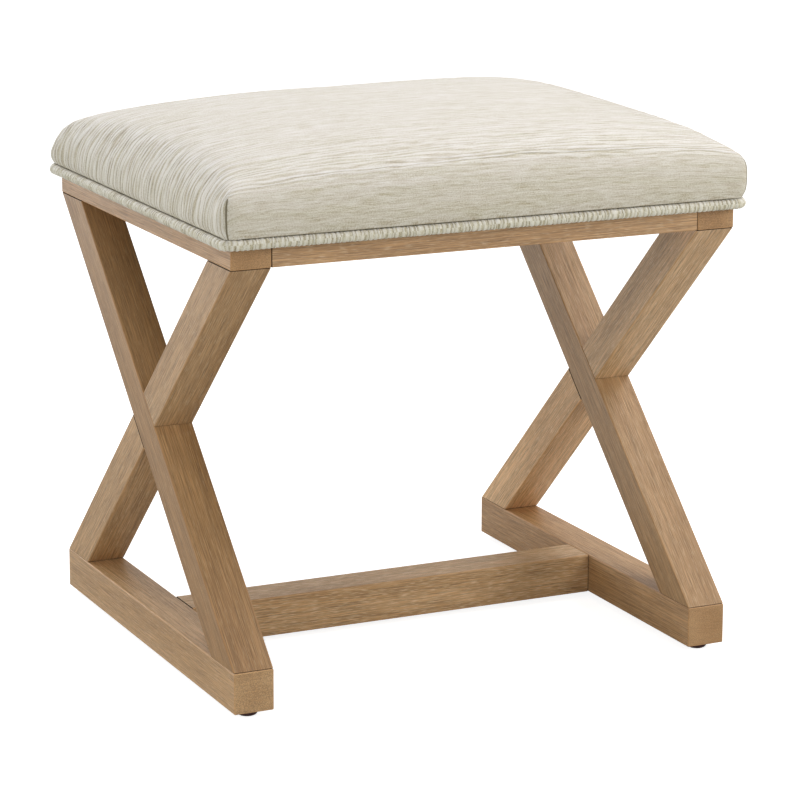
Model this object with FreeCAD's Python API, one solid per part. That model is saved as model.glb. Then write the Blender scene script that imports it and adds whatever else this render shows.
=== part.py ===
import FreeCAD, Part
import math
import os

# An upholstered stool on two X-shaped side frames.
# Lengths are in millimetres. Z is up, the front faces -Y, and the origin is
# on the floor under the middle of the stool.

# Side frames: a runner and a rail with two crossing legs between them
frame_width = 500.0
frame_depth = 435.0
stock_width = 38.0
runner_height = 38.0
leg_thickness = 38.0
leg_rise = 362.0
rail_height = 19.0
edge_ease = 1.2

# Members that tie the side frames together
apron_width = 38.0
stretcher_width = 42.0

# Fluted dowels, drawn with flat flutes, in holes larger by a glue gap
dowel_radius = 4.0
dowel_flutes = 10
dowel_half_length = 18.0
dowel_short_end = 12.0
dowel_spacing = 15.0
glue_gap = 0.15
glue_room = 1.0

# Glides: a domed foot moulded on a nail
glide_height = 6.5
glide_radius = 10.0
glide_rim = 1.8
glide_flat_radius = 4.5
glide_dome_steps = 3
glide_setback = 17.0
nail_radius = 1.1
nail_length = 17.0
nail_head_radius = 3.6
nail_head_height = 1.0

# Seat board and the cloth layers between it and the rails
board_thickness = 12.0
cover_thickness = 1.0
cover_turn_under = 32.0
lining_thickness = 0.8
dust_cover_inset = 25.0
layer_clearance = 0.3

# Welt round the foot of the seat
seat_overhang = 13.0
welt_radius = 4.75
welt_drop = 0.4
welt_tail = 10.0
welt_flat_share = 0.4
seat_corner_radius = 15.0

# Cushion: a wall that swells out over the welt, a tight shoulder and a crown
cushion_height = 82.7
crown_rise = 17.0
shoulder_drop = 38.0
shoulder_reach = 27.0
wall_swell = 3.5
cushion_corner_radius = 20.0
corner_slack = 1.0
# Where the middle of an arc lies, as shares of its two ends' distance
shoulder_middle_share = 0.25
swell_middle_share = 0.5

# Seat screws, countersunk in the underside of the side rails
screw_radius = 2.0
screw_head_radius = 4.0
screw_grip = 8.0
screw_point = 4.0
screw_gap = 0.2
rail_screw_share = 0.5

# Every cut runs past the solid by this much
overrun = 5.0

# Levels worked out from the sizes above
half_width = frame_width / 2
half_depth = frame_depth / 2
runner_foot = glide_height
runner_top = runner_foot + runner_height
rail_foot = runner_top + leg_rise
rail_top = rail_foot + rail_height
rail_middle = rail_foot + rail_height / 2
seat_foot = rail_top + lining_thickness
board_foot = seat_foot + cover_thickness
board_top = board_foot + board_thickness
cushion_top = seat_foot + cushion_height
welt_middle = rail_top - welt_drop + welt_radius
wall_foot = welt_middle + welt_radius + layer_clearance
foot_overhang = seat_overhang - 2 * welt_radius - layer_clearance
foot_corner_radius = seat_corner_radius - 2 * welt_radius
side_middle = half_width - stock_width / 2
apron_middle = half_depth - apron_width / 2

# Slope of a leg, as run over rise, so that its square-cut thickness holds
# and its ends finish flush with the ends of the runner and the rail
leg_slope = (
    frame_depth * leg_rise
    - leg_thickness * math.sqrt(frame_depth ** 2 + leg_rise ** 2 - leg_thickness ** 2)
) / (leg_rise ** 2 - leg_thickness ** 2)
leg_foot = leg_thickness * math.sqrt(1 + leg_slope ** 2)
crossing_level = runner_top + leg_rise / 2
crossing_reach = leg_foot / 2 / leg_slope

SIDES = {"left": -1, "right": 1}
ENDS = {"front": -1, "back": 1}


def vector(x, y, z):
    """A point or a direction."""
    return FreeCAD.Vector(x, y, z)


def save(name, shape):
    """Write one node and say how large it is."""
    shape.exportStep("parts/" + name + ".step")
    print(name, len(shape.Solids), "solids,", round(shape.Volume), "mm3, valid:", shape.isValid())


def eased(solid):
    """The same solid with every sharp edge taken off."""
    return solid.makeChamfer(edge_ease, solid.Edges)


def side_bar(profile, side):
    """A bar of the side frame, from its outline in Y and Z, on one side of the stool."""
    outer = side * half_width
    points = [vector(outer, y, z) for y, z in profile]
    face = Part.Face(Part.makePolygon(points + points[:1]))
    return eased(face.extrude(vector(-side * stock_width, 0, 0)))


def beam(centre_y, centre_z, width, height):
    """A beam along X between the side frames."""
    inner = half_width - stock_width
    corner = vector(-inner, centre_y - width / 2, centre_z - height / 2)
    return eased(Part.makeBox(2 * inner, width, height, corner))


def fluted_pin(place, axis, behind, ahead, radius):
    """A pin with flat flutes through a place, reaching behind and ahead of it along the axis."""
    direction = vector(*axis).normalize()
    start = vector(*place) - direction * behind
    corners = [
        vector(radius * math.cos(angle), radius * math.sin(angle), 0)
        for angle in (2 * math.pi * step / dowel_flutes for step in range(dowel_flutes))
    ]
    face = Part.Face(Part.makePolygon(corners + corners[:1]))
    pin = face.extrude(vector(0, 0, behind + ahead))
    pin.Placement = FreeCAD.Placement(start, FreeCAD.Rotation(vector(0, 0, 1), direction))
    return pin


def pins(places, axis, behind, ahead, radius):
    """Pins at several places."""
    return [fluted_pin(place, axis, behind, ahead, radius) for place in places]


def dowels(places, axis, behind, ahead):
    """Dowels across a joint at the given places."""
    return pins(places, axis, behind, ahead, dowel_radius)


def dowel_holes(places, axis, behind, ahead):
    """The holes for those dowels, with room for glue round and past them."""
    return pins(places, axis, behind + glue_room, ahead + glue_room, dowel_radius + glue_gap)


def foot_places(side, end):
    """Dowels where a leg stands on a runner, inside the part that slants away."""
    middle = end * (half_depth - leg_foot / 2 - leg_slope * dowel_half_length / 2)
    offsets = (-dowel_spacing / 2, dowel_spacing / 2)
    return [(side * side_middle, middle + offset, runner_top) for offset in offsets]


def head_places(side, end):
    """Dowels where a leg meets a rail."""
    in_leg = 2 * dowel_half_length - dowel_short_end
    middle = end * (half_depth - leg_foot / 2 - leg_slope * in_leg / 2)
    offsets = (-dowel_spacing / 2, dowel_spacing / 2)
    return [(side * side_middle, middle + offset, rail_foot) for offset in offsets]


def crossing_places(side):
    """Dowels through the long leg into both half legs."""
    offsets = (-dowel_spacing / 2, dowel_spacing / 2)
    return [(side * side_middle + offset, 0, crossing_level) for offset in offsets]


def apron_places(side, end):
    """Dowels from a side rail into an apron."""
    offsets = (-dowel_spacing / 2, dowel_spacing / 2)
    inner = half_width - stock_width
    return [(side * inner, end * apron_middle + offset, rail_middle) for offset in offsets]


def stretcher_places(side):
    """Dowels from a runner into the stretcher."""
    offsets = (-dowel_spacing / 2, dowel_spacing / 2)
    inner = half_width - stock_width
    level = runner_foot + runner_height / 2
    return [(side * inner, offset, level) for offset in offsets]


def foot_joint(make, side, end):
    """Dowels or holes of a leg's foot."""
    return make(foot_places(side, end), (0, 0, 1), dowel_half_length, dowel_half_length)


def head_joint(make, side, end):
    """Dowels or holes of a leg's head, short in the thin rail."""
    in_leg = 2 * dowel_half_length - dowel_short_end
    return make(head_places(side, end), (0, 0, 1), in_leg, dowel_short_end)


def crossing_joint(make, side):
    """Dowels or holes square through the long leg."""
    reach = leg_thickness / 2 + dowel_half_length
    return make(crossing_places(side), (0, -1, leg_slope), reach, reach)


def apron_joint(make, side, end):
    """Dowels or holes of an apron's end, short in the side rail."""
    in_apron = 2 * dowel_half_length - dowel_short_end
    return make(apron_places(side, end), (-side, 0, 0), dowel_short_end, in_apron)


def stretcher_joint(make, side):
    """Dowels or holes of a stretcher's end."""
    return make(stretcher_places(side), (side, 0, 0), dowel_half_length, dowel_half_length)


def screw_places():
    """Seat screws: two in each side rail."""
    reach = rail_screw_share * half_depth
    return [(side * side_middle, end * reach) for side in SIDES.values() for end in ENDS.values()]


def revolved(profile, x, y):
    """A solid turned about the vertical through x, y from an outline of radius and height."""
    points = [vector(radius, 0, z) for radius, z in profile]
    face = Part.Face(Part.makePolygon(points + points[:1]))
    solid = face.revolve(vector(0, 0, 0), vector(0, 0, 1), 360)
    solid.translate(vector(x, y, 0))
    return solid


def seat_screw(x, y, gap):
    """A countersunk screw, or with a gap the hole for it."""
    shank = screw_radius + gap
    head = screw_head_radius + gap
    tip = board_foot + screw_grip
    below = rail_foot - (overrun if gap else 0)
    profile = [
        (0, below),
        (head, below),
        (head, rail_foot),
        (shank, rail_foot + screw_head_radius - screw_radius),
        (shank, tip - screw_point),
        (0, tip),
    ]
    if gap:
        profile[-2:] = [(shank, tip + gap), (0, tip + gap)]
    else:
        profile[:1] = []
        profile[0] = (0, rail_foot)
    return revolved(profile, x, y)


def screw_holes():
    """Every seat screw's hole."""
    return [seat_screw(x, y, screw_gap) for x, y in screw_places()]


def glide_places():
    """The glides' centres, near the ends of the runners."""
    reach = half_depth - glide_setback
    return [(side * side_middle, end * reach) for side in SIDES.values() for end in ENDS.values()]


def glide_nail(x, y, gap):
    """A nail with its head let into the glide, or with a gap the room for it."""
    head_foot = glide_height - nail_head_height - gap
    head_top = glide_height
    tip = glide_height + nail_length + gap
    shank = nail_radius + gap
    point = tip - 2 * nail_radius
    head = nail_head_radius + gap
    profile = [
        (0, head_foot),
        (head, head_foot),
        (head, head_top),
        (shank, head_top),
        (shank, point),
        (0, tip),
    ]
    return revolved(profile, x, y)


def glide(x, y):
    """A plastic glide: a dome cut flat where it stands, with room for its nail."""
    rim = glide_height - glide_rim
    dome = [
        (
            glide_flat_radius + (glide_radius - glide_flat_radius) * math.sin(angle),
            rim * (1 - math.cos(angle)),
        )
        for angle in (math.pi / 2 * step / glide_dome_steps for step in range(glide_dome_steps + 1))
    ]
    profile = [(0, 0)] + dome + [(glide_radius, glide_height), (0, glide_height)]
    return revolved(profile, x, y).cut(glide_nail(x, y, glue_gap))


def rounded_loop(half_x, half_y, radius, z):
    """A rectangle with round corners, lying level: four lines and four quarter arcs."""
    flat_x = half_x - radius
    flat_y = half_y - radius
    slant = radius * math.sqrt(0.5)
    edges = []
    for turn_x, turn_y in ((1, 1), (-1, 1), (-1, -1), (1, -1)):
        beside = vector(turn_x * half_x, turn_y * flat_y, z)
        corner = vector(turn_x * (flat_x + slant), turn_y * (flat_y + slant), z)
        across = vector(turn_x * flat_x, turn_y * half_y, z)
        going_out = turn_x * turn_y > 0
        start, end = (beside, across) if going_out else (across, beside)
        following = (
            vector(-turn_x * flat_x, turn_y * half_y, z)
            if going_out
            else vector(turn_x * half_x, -turn_y * flat_y, z)
        )
        edges.append(Part.Arc(start, corner, end).toShape())
        edges.append(Part.LineSegment(end, following).toShape())
    return Part.Wire(edges)


def seat_slab(overhang, radius, foot, top):
    """A level slab that overhangs the frame by a given amount."""
    loop = rounded_loop(half_width + overhang, half_depth + overhang, radius, foot)
    return Part.Face(loop).extrude(vector(0, 0, top - foot))


def crowned_profile(half_size, depth, foot, place):
    """The cushion cut across: its foot, swelling walls, tight shoulders and crown.

    The outline lies a given depth below the outer face and starts at its foot's
    level, and place turns a distance across and a height into a point.
    """
    edge = half_size + seat_overhang - depth
    top = cushion_top - depth
    shoulder = cushion_top - shoulder_drop
    crown_edge = edge - shoulder_reach
    crown_foot = top - crown_rise
    swell_level = foot + (shoulder - foot) * swell_middle_share
    bend_inset = shoulder_reach * shoulder_middle_share
    bend_level = crown_foot - (crown_foot - shoulder) * shoulder_middle_share
    wall_low = (edge - wall_swell, foot)
    wall_middle = (edge, swell_level)
    wall_high = (edge - wall_swell / 2, shoulder)
    bend = (edge - bend_inset, bend_level)
    crown_low = (crown_edge, crown_foot)
    crown_middle = (0, top)

    def across(side, point):
        return place(side * point[0], point[1])

    edges = [
        Part.LineSegment(across(-1, wall_low), across(1, wall_low)),
        Part.Arc(across(1, wall_low), across(1, wall_middle), across(1, wall_high)),
        Part.Arc(across(1, wall_high), across(1, bend), across(1, crown_low)),
        Part.Arc(across(1, crown_low), across(1, crown_middle), across(-1, crown_low)),
        Part.Arc(across(-1, crown_low), across(-1, bend), across(-1, wall_high)),
        Part.Arc(across(-1, wall_high), across(-1, wall_middle), across(-1, wall_low)),
    ]
    return Part.Face(Part.Wire([edge.toShape() for edge in edges]))


def cushion(depth, foot):
    """The cushion's form at a given depth below its outer face, up from its foot.

    Two crowned profiles, one run along each side, meet in soft mitres that
    climb from the corners, and a round-cornered slab trims their corners.
    """
    reach_x = half_width + seat_overhang + overrun
    reach_y = half_depth + seat_overhang + overrun
    along_y = crowned_profile(half_width, depth, foot, lambda across, up: vector(across, -reach_y, up))
    along_x = crowned_profile(half_depth, depth, foot, lambda across, up: vector(-reach_x, across, up))
    form = along_y.extrude(vector(0, 2 * reach_y, 0))
    form = form.common(along_x.extrude(vector(2 * reach_x, 0, 0)))
    overhang = seat_overhang + corner_slack - depth
    radius = cushion_corner_radius - depth
    return form.common(seat_slab(overhang, radius, seat_foot, cushion_top + overrun))


def cover_form(depth, foot):
    """The cushion with the foot that goes down inside the welt."""
    radius = foot_corner_radius - depth
    step = seat_slab(foot_overhang - depth, radius, foot, wall_foot + wall_swell)
    return cushion(depth, wall_foot + depth).fuse(step)


def seat_cover():
    """The cloth over top and sides, turned under the board."""
    shell = cover_form(0, seat_foot).cut(cover_form(cover_thickness, board_foot))
    window = seat_slab(-cover_turn_under, seat_corner_radius, seat_foot - overrun, board_foot + overrun)
    return shell.cut(window).cut(Part.Compound(screw_holes()))


def foam_pad():
    """Crowned foam, glued on the board."""
    return cushion(cover_thickness + 2 * layer_clearance, board_top)


def seat_board():
    """Plywood under the foam, drilled for the seat screws."""
    depth = cover_thickness + layer_clearance
    slab = seat_slab(foot_overhang - depth, foot_corner_radius - depth, board_foot, board_top)
    return slab.cut(Part.Compound(screw_holes()))


def welt_ring():
    """A cord round the foot of the seat, pressed flat on its inner side."""
    overhang = seat_overhang - welt_radius
    bend = seat_corner_radius - welt_radius
    path = rounded_loop(half_width + overhang, half_depth + overhang, bend, welt_middle)
    start = path.Edges[0].valueAt(path.Edges[0].FirstParameter)
    inward = -welt_flat_share * welt_radius
    half_flat = math.sqrt(welt_radius ** 2 - inward ** 2)
    low = start + vector(inward, 0, -half_flat)
    high = start + vector(inward, 0, half_flat)
    outside = Part.Arc(low, start + vector(welt_radius, 0, 0), high).toShape()
    section = Part.Wire([outside, Part.LineSegment(high, low).toShape()])
    return path.makePipeShell([section], True, False)


def welt():
    """The covered cord, with its cloth's tail running in over the rails."""
    overhang = seat_overhang - welt_radius
    tail = seat_slab(overhang, seat_corner_radius - welt_radius, rail_top, seat_foot)
    window = seat_slab(-welt_tail, seat_corner_radius, rail_top - overrun, seat_foot + overrun)
    return welt_ring().fuse(tail.cut(window))


def dust_cover():
    """Thin cloth under the board, inside the line of the seat screws."""
    return seat_slab(-dust_cover_inset, seat_corner_radius, rail_top, seat_foot)


def build_side_frame(name, side):
    """One side frame: runner, rail, the long leg and the two halves of the other."""
    runner = side_bar(
        [
            (-half_depth, runner_foot),
            (half_depth, runner_foot),
            (half_depth, runner_top),
            (-half_depth, runner_top),
        ],
        side,
    )
    rail = side_bar(
        [
            (-half_depth, rail_foot),
            (half_depth, rail_foot),
            (half_depth, rail_top),
            (-half_depth, rail_top),
        ],
        side,
    )
    long_leg = side_bar(
        [
            (-half_depth, runner_top),
            (leg_foot - half_depth, runner_top),
            (half_depth, rail_foot),
            (half_depth - leg_foot, rail_foot),
        ],
        side,
    )
    upper_leg = side_bar(
        [
            (-half_depth, rail_foot),
            (-leg_foot / 2, crossing_level),
            (0, crossing_level + crossing_reach),
            (leg_foot - half_depth, rail_foot),
        ],
        side,
    )
    lower_leg = side_bar(
        [
            (half_depth, runner_top),
            (leg_foot / 2, crossing_level),
            (0, crossing_level - crossing_reach),
            (half_depth - leg_foot, runner_top),
        ],
        side,
    )
    holes = crossing_joint(dowel_holes, side) + stretcher_joint(dowel_holes, side)
    for end in ENDS.values():
        holes += foot_joint(dowel_holes, side, end)
        holes += head_joint(dowel_holes, side, end)
        holes += apron_joint(dowel_holes, side, end)
    for x, y in glide_places():
        holes.append(glide_nail(x, y, glue_gap))
    drilled = Part.Compound(holes + screw_holes())
    save(name + "_runner", runner.cut(drilled))
    save(name + "_side_rail", rail.cut(drilled))
    save(name + "_long_leg", long_leg.cut(drilled))
    save(name + "_upper_leg", upper_leg.cut(drilled))
    save(name + "_lower_leg", lower_leg.cut(drilled))


def build_ties():
    """The stretcher and the two aprons between the side frames."""
    holes = []
    for side in SIDES.values():
        holes += stretcher_joint(dowel_holes, side)
        for end in ENDS.values():
            holes += apron_joint(dowel_holes, side, end)
    drilled = Part.Compound(holes)
    stretcher = beam(0, runner_foot + runner_height / 2, stretcher_width, runner_height)
    save("stretcher", stretcher.cut(drilled))
    for name, end in ENDS.items():
        apron = beam(end * apron_middle, rail_middle, apron_width, rail_height)
        save(name + "_apron", apron.cut(drilled))


def build_dowels():
    """The dowels, one node for each kind of joint."""
    sides = list(SIDES.values())
    corners = [(side, end) for side in sides for end in ENDS.values()]
    groups = {
        "foot_dowels": [foot_joint(dowels, side, end) for side, end in corners],
        "head_dowels": [head_joint(dowels, side, end) for side, end in corners],
        "apron_dowels": [apron_joint(dowels, side, end) for side, end in corners],
        "crossing_dowels": [crossing_joint(dowels, side) for side in sides],
        "stretcher_dowels": [stretcher_joint(dowels, side) for side in sides],
    }
    for name, joints in groups.items():
        save(name, Part.Compound([dowel for joint in joints for dowel in joint]))


def build_glides():
    """The four glides and their nails."""
    places = glide_places()
    save("glides", Part.Compound([glide(x, y) for x, y in places]))
    save("glide_nails", Part.Compound([glide_nail(x, y, 0) for x, y in places]))


def build_seat():
    """The seat, from its board up, and what fixes it."""
    save("seat_board", seat_board())
    save("foam_pad", foam_pad())
    save("seat_cover", seat_cover())
    save("welt", welt())
    save("dust_cover", dust_cover())
    save("seat_screws", Part.Compound([seat_screw(x, y, 0) for x, y in screw_places()]))


def main():
    """Build every node."""
    os.makedirs("parts", exist_ok=True)
    for name, side in SIDES.items():
        build_side_frame(name, side)
    build_ties()
    build_dowels()
    build_glides()
    build_seat()


main()
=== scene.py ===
"""An upholstered stool on two X-shaped side frames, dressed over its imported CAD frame.

Lengths are in metres. Z is up, the front faces -Y, and the origin is on the
floor under the middle of the stool.
"""

import logging
import math
from collections.abc import Callable, Iterable
from dataclasses import dataclass, field
from enum import Enum

import bmesh
import bpy
from mathutils import Matrix, Vector, noise


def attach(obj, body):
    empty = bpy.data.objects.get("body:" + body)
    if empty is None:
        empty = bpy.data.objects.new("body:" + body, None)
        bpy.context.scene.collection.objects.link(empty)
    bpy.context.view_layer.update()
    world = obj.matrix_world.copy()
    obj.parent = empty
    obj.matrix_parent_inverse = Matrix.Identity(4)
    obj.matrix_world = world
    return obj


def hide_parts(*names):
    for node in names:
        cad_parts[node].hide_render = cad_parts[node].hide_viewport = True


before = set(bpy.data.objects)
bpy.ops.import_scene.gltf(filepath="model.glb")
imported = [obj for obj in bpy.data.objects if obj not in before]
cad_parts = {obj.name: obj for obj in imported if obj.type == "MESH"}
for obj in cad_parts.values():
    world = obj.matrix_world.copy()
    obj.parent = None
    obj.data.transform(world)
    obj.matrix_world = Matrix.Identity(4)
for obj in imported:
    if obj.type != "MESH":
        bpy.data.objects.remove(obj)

log = logging.getLogger("stool")

CLOTH_MAP = "cloth"
CRINKLE = "crinkle"
MILLIMETRES = 1000
SENSOR_WIDTH = 36.0

# Lengths that count as level, and as none at all
HAIR = 1e-6
NOTHING = 1e-7

# The sockets of a colour mix, by number, as their names repeat
MIX_SHARE, MIX_FIRST, MIX_SECOND, MIX_RESULT = 0, 6, 7, 2

Span = tuple[float, float]
Triple = tuple[float, float, float]
Colour = tuple[float, float, float, float]
Stops = Iterable[tuple[float, object]]


# Small tools


def srgb(red: int, green: int, blue: int) -> Colour:
    """A colour as it is read off a screen, turned into the linear one that a shader takes.

    Args:
        red: Red, from 0 to 255.
        green: Green, from 0 to 255.
        blue: Blue, from 0 to 255.

    Returns:
        The linear colour, with no transparency.
    """

    def linear(level: int) -> float:
        """One channel from 0..255 to linear light."""
        share = level / 255
        return share / 12.92 if share <= 0.04045 else ((share + 0.055) / 1.055) ** 2.4

    return (linear(red), linear(green), linear(blue), 1.0)


def smooth_step(low: float, high: float, value: float) -> float:
    """0 below low, 1 above high, and a soft climb between them."""
    share = min(max((value - low) / (high - low), 0.0), 1.0)
    return share * share * (3 - 2 * share)


def clear_selection() -> None:
    """Leave edit mode and leave nothing selected."""
    if bpy.context.object and bpy.context.object.mode != "OBJECT":
        bpy.ops.object.mode_set(mode="OBJECT")
    bpy.ops.object.select_all(action="DESELECT")


def only(piece: bpy.types.Object) -> None:
    """Select one piece alone, so that an operator acts on nothing else.

    Args:
        piece: The piece.
    """
    clear_selection()
    piece.select_set(True)
    bpy.context.view_layer.objects.active = piece


def settle(piece: bpy.types.Object) -> None:
    """Put a piece's place, turn and size into its mesh."""
    only(piece)
    bpy.ops.object.transform_apply(location=True, rotation=True, scale=True)


def named(name: str) -> bpy.types.Object:
    """Name the primitive that was just added, and its mesh, and settle it.

    Args:
        name: The piece's name.

    Returns:
        The piece.
    """
    piece = bpy.context.object
    piece.name = name
    piece.data.name = name
    settle(piece)
    return piece


def blank_box(name: str, centre: Vector, size: Triple, turn: float = 0.0) -> bpy.types.Object:
    """A squared blank, turned about X.

    Args:
        name: The piece's name.
        centre: The middle of the blank.
        size: Its extent along X, Y and Z before it is turned.
        turn: The turn about X, in radians.

    Returns:
        The new piece, with its place in its mesh.
    """
    clear_selection()
    bpy.ops.mesh.primitive_cube_add(size=1, location=centre, rotation=(turn, 0, 0))
    bpy.context.object.scale = size
    return named(name)


def pick(piece: bpy.types.Object, kind: str, test: Callable[..., bool]) -> int:
    """Go into edit mode and select the faces, edges or vertices that pass a test.

    Args:
        piece: The mesh piece.
        kind: "faces", "edges" or "verts".
        test: Called with each face, edge or vertex.

    Returns:
        How many are selected.
    """
    only(piece)
    bpy.ops.object.mode_set(mode="EDIT")
    bpy.ops.mesh.select_mode(type={"faces": "FACE", "edges": "EDGE", "verts": "VERT"}[kind])
    bpy.ops.mesh.select_all(action="DESELECT")
    mesh = bmesh.from_edit_mesh(piece.data)
    mesh.normal_update()
    count = 0
    for item in getattr(mesh, kind):
        if test(item):
            item.select_set(True)
            count += 1
    mesh.select_flush_mode()
    bmesh.update_edit_mesh(piece.data)
    return count


def leave_edit() -> None:
    """Back to object mode."""
    bpy.ops.object.mode_set(mode="OBJECT")


def apply_modifier(piece: bpy.types.Object, kind: str, **settings: object) -> None:
    """Add a modifier, set it and apply it.

    Args:
        piece: The piece it works on.
        kind: The modifier's type.
        settings: Its properties.
    """
    only(piece)
    modifier = piece.modifiers.new(kind.title(), kind)
    for name, value in settings.items():
        setattr(modifier, name, value)
    bpy.ops.object.modifier_apply(modifier=modifier.name)


def copy_of(piece: bpy.types.Object, name: str, shift: Triple) -> bpy.types.Object:
    """A copy with its own mesh, moved by a given amount.

    Args:
        piece: The piece that is copied.
        name: The copy's name.
        shift: How far the copy is moved.

    Returns:
        The copy.
    """
    only(piece)
    bpy.ops.object.duplicate(linked=False)
    twin = bpy.context.object
    twin.location = shift
    twin.name = name
    twin.data.name = name
    settle(twin)
    return twin


def flat_faces_stay_flat(piece: bpy.types.Object) -> None:
    """Shade the eased edges round and the planed faces flat.

    Args:
        piece: The bar.
    """
    only(piece)
    bpy.ops.object.shade_smooth()
    apply_modifier(piece, "WEIGHTED_NORMAL", keep_sharp=False, weight=100)


# Finishes


@dataclass(frozen=True)
class Layer:
    """One layer of soft noise: spots in a metre along each axis, finer layers, and its start."""

    spots: Triple
    detail: float = 2.0
    rough: float = 0.5
    start: Triple = (0, 0, 0)


@dataclass(frozen=True)
class Bump:
    """How deep a height of 1 is in metres, and how much of it is used."""

    depth: float
    strength: object = 1.0


class Recipe:
    """A material being mixed from nodes."""

    def __init__(self, name: str) -> None:
        """Start an empty material.

        Args:
            name: The material's name.
        """
        self.material = bpy.data.materials.new(name)
        self.material.use_nodes = True
        self.nodes = self.material.node_tree.nodes
        self.links = self.material.node_tree.links
        self.nodes.clear()
        self.shader = self.nodes.new("ShaderNodeBsdfPrincipled")
        output = self.nodes.new("ShaderNodeOutputMaterial")
        self.links.new(self.shader.outputs["BSDF"], output.inputs["Surface"])

    def node(self, kind: str, **settings: object) -> bpy.types.Node:
        """A new node with its properties set.

        Args:
            kind: The node's type, without its common first word.
            settings: Its properties.

        Returns:
            The node.
        """
        new = self.nodes.new("ShaderNode" + kind)
        for name, value in settings.items():
            setattr(new, name, value)
        return new

    def feed(self, node: bpy.types.Node, socket: str | int, value: object) -> None:
        """Join a socket to an output, or set it to a value.

        Args:
            node: The node that is fed.
            socket: Its input's name or number.
            value: An output socket, a number, or a tuple.
        """
        if isinstance(value, bpy.types.NodeSocket):
            self.links.new(value, node.inputs[socket])
        else:
            node.inputs[socket].default_value = value

    def object_place(self) -> bpy.types.NodeSocket:
        """The place on the object, in metres."""
        return self.node("TexCoord").outputs["Object"]

    def cloth_place(self) -> bpy.types.NodeSocket:
        """The place on the cloth, from its own map in metres."""
        return self.node("UVMap", uv_map=CLOTH_MAP).outputs["UV"]

    def mapped(
        self,
        place: object,
        scale: Triple = (1, 1, 1),
        turn: Triple = (0, 0, 0),
        shift: Triple = (0, 0, 0),
    ) -> bpy.types.NodeSocket:
        """A place that is scaled, turned and shifted.

        Args:
            place: The place's socket.
            scale: The scale along each axis.
            turn: The turn about each axis, in radians.
            shift: The shift that comes last.

        Returns:
            The new place's socket.
        """
        mapping = self.node("Mapping")
        self.feed(mapping, "Vector", place)
        self.feed(mapping, "Scale", scale)
        self.feed(mapping, "Rotation", turn)
        self.feed(mapping, "Location", shift)
        return mapping.outputs["Vector"]

    def arithmetic(self, operation: str, first: object, second: object) -> bpy.types.NodeSocket:
        """Two values joined by arithmetic.

        Args:
            operation: The kind of arithmetic.
            first: The first value.
            second: The second value.

        Returns:
            The result.
        """
        maths = self.node("Math", operation=operation)
        self.feed(maths, 0, first)
        self.feed(maths, 1, second)
        return maths.outputs[0]

    def swayed(self, place: object, drift: object, reach: Triple) -> bpy.types.NodeSocket:
        """A place that wanders to and fro.

        Args:
            place: The place's socket.
            drift: The noise that moves it.
            reach: How far a noise of 1 moves it along each axis.

        Returns:
            The new place's socket.
        """
        sway = self.node("VectorMath", operation="MULTIPLY_ADD")
        self.feed(sway, 0, drift)
        self.feed(sway, 1, reach)
        self.feed(sway, 2, place)
        return sway.outputs[0]

    def speckle(self, place: object, layer: Layer) -> bpy.types.NodeSocket:
        """Soft noise with its own number of spots in a metre along each axis.

        Args:
            place: The place's socket.
            layer: The noise's sizes.

        Returns:
            The noise, about 0.5 on average.
        """
        texture = self.node("TexNoise")
        self.feed(texture, "Vector", self.mapped(place, layer.spots, shift=layer.start))
        self.feed(texture, "Scale", 1.0)
        self.feed(texture, "Detail", layer.detail)
        self.feed(texture, "Roughness", layer.rough)
        return texture.outputs[0]

    def steps(self, value: object, stops: Stops) -> bpy.types.NodeSocket:
        """A ramp of greys or colours over a value.

        Args:
            value: The value's socket.
            stops: Each stop's position and its grey level or colour.

        Returns:
            The ramp's colour socket.
        """
        ramp = self.node("ValToRGB")
        self.feed(ramp, 0, value)
        elements = ramp.color_ramp.elements
        stops = list(stops)
        while len(elements) < len(stops):
            elements.new(0.5)
        for element, (position, colour) in zip(elements, stops):
            element.position = position
            element.color = colour if isinstance(colour, tuple) else (colour, colour, colour, 1)
        return ramp.outputs["Color"]

    def blend(self, share: object, first: object, second: object, way: str = "MIX") -> bpy.types.NodeSocket:
        """Two colours mixed.

        Args:
            share: How much of the second, from 0 to 1.
            first: The first colour.
            second: The second colour.
            way: The blend's type.

        Returns:
            The mixed colour.
        """
        mix = self.node("Mix", data_type="RGBA", blend_type=way)
        self.feed(mix, MIX_SHARE, share)
        self.feed(mix, MIX_FIRST, first)
        self.feed(mix, MIX_SECOND, second)
        return mix.outputs[MIX_RESULT]

    def overlay(self, share: object, colour: object, grey: object) -> bpy.types.NodeSocket:
        """A colour made paler and darker by a grey, which leaves it alone at its middle."""
        return self.blend(share, colour, grey, "OVERLAY")

    def relief(self, height: object, bump: Bump, under: object = None) -> bpy.types.NodeSocket:
        """The normal over a height of 0..1.

        Args:
            height: The height's socket.
            bump: How deep and how strong it is.
            under: The normal of a coarser relief below it.

        Returns:
            The normal.
        """
        node = self.node("Bump")
        self.feed(node, "Strength", bump.strength)
        self.feed(node, "Distance", bump.depth)
        self.feed(node, "Height", height)
        if under is not None:
            self.feed(node, "Normal", under)
        return node.outputs["Normal"]


class Lie(Enum):
    """How a bar lies in the frame."""

    ACROSS = "across"
    FORE_AND_AFT = "fore and aft"
    LONG_LEG = "long leg"
    HALF_LEG = "half leg"


class Rings(Enum):
    """Which faces of a bar the growth rings cut straight through."""

    LEVEL = 0.0
    UPRIGHT = math.pi / 2


@dataclass(frozen=True)
class Board:
    """Where in the oak a bar was sawn, how many ray flecks it shows from 0 to 1, and its tint.

    The tint is a share of each of red, green and blue. It is partly the board's own tone and partly painted
    light: some bars are made paler or darker for how the lamps fall on them, and blue is raised more than
    red for a painted sheen.
    """

    start: float
    flecks: float
    tint_with_painted_light: Triple


# Each tint is partly the board's own tone and partly painted light: the left long leg is made darker for
# the seat's shadow on it, other bars are made paler as if better lit, and blue is raised more than red for
# a painted sheen.
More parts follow.
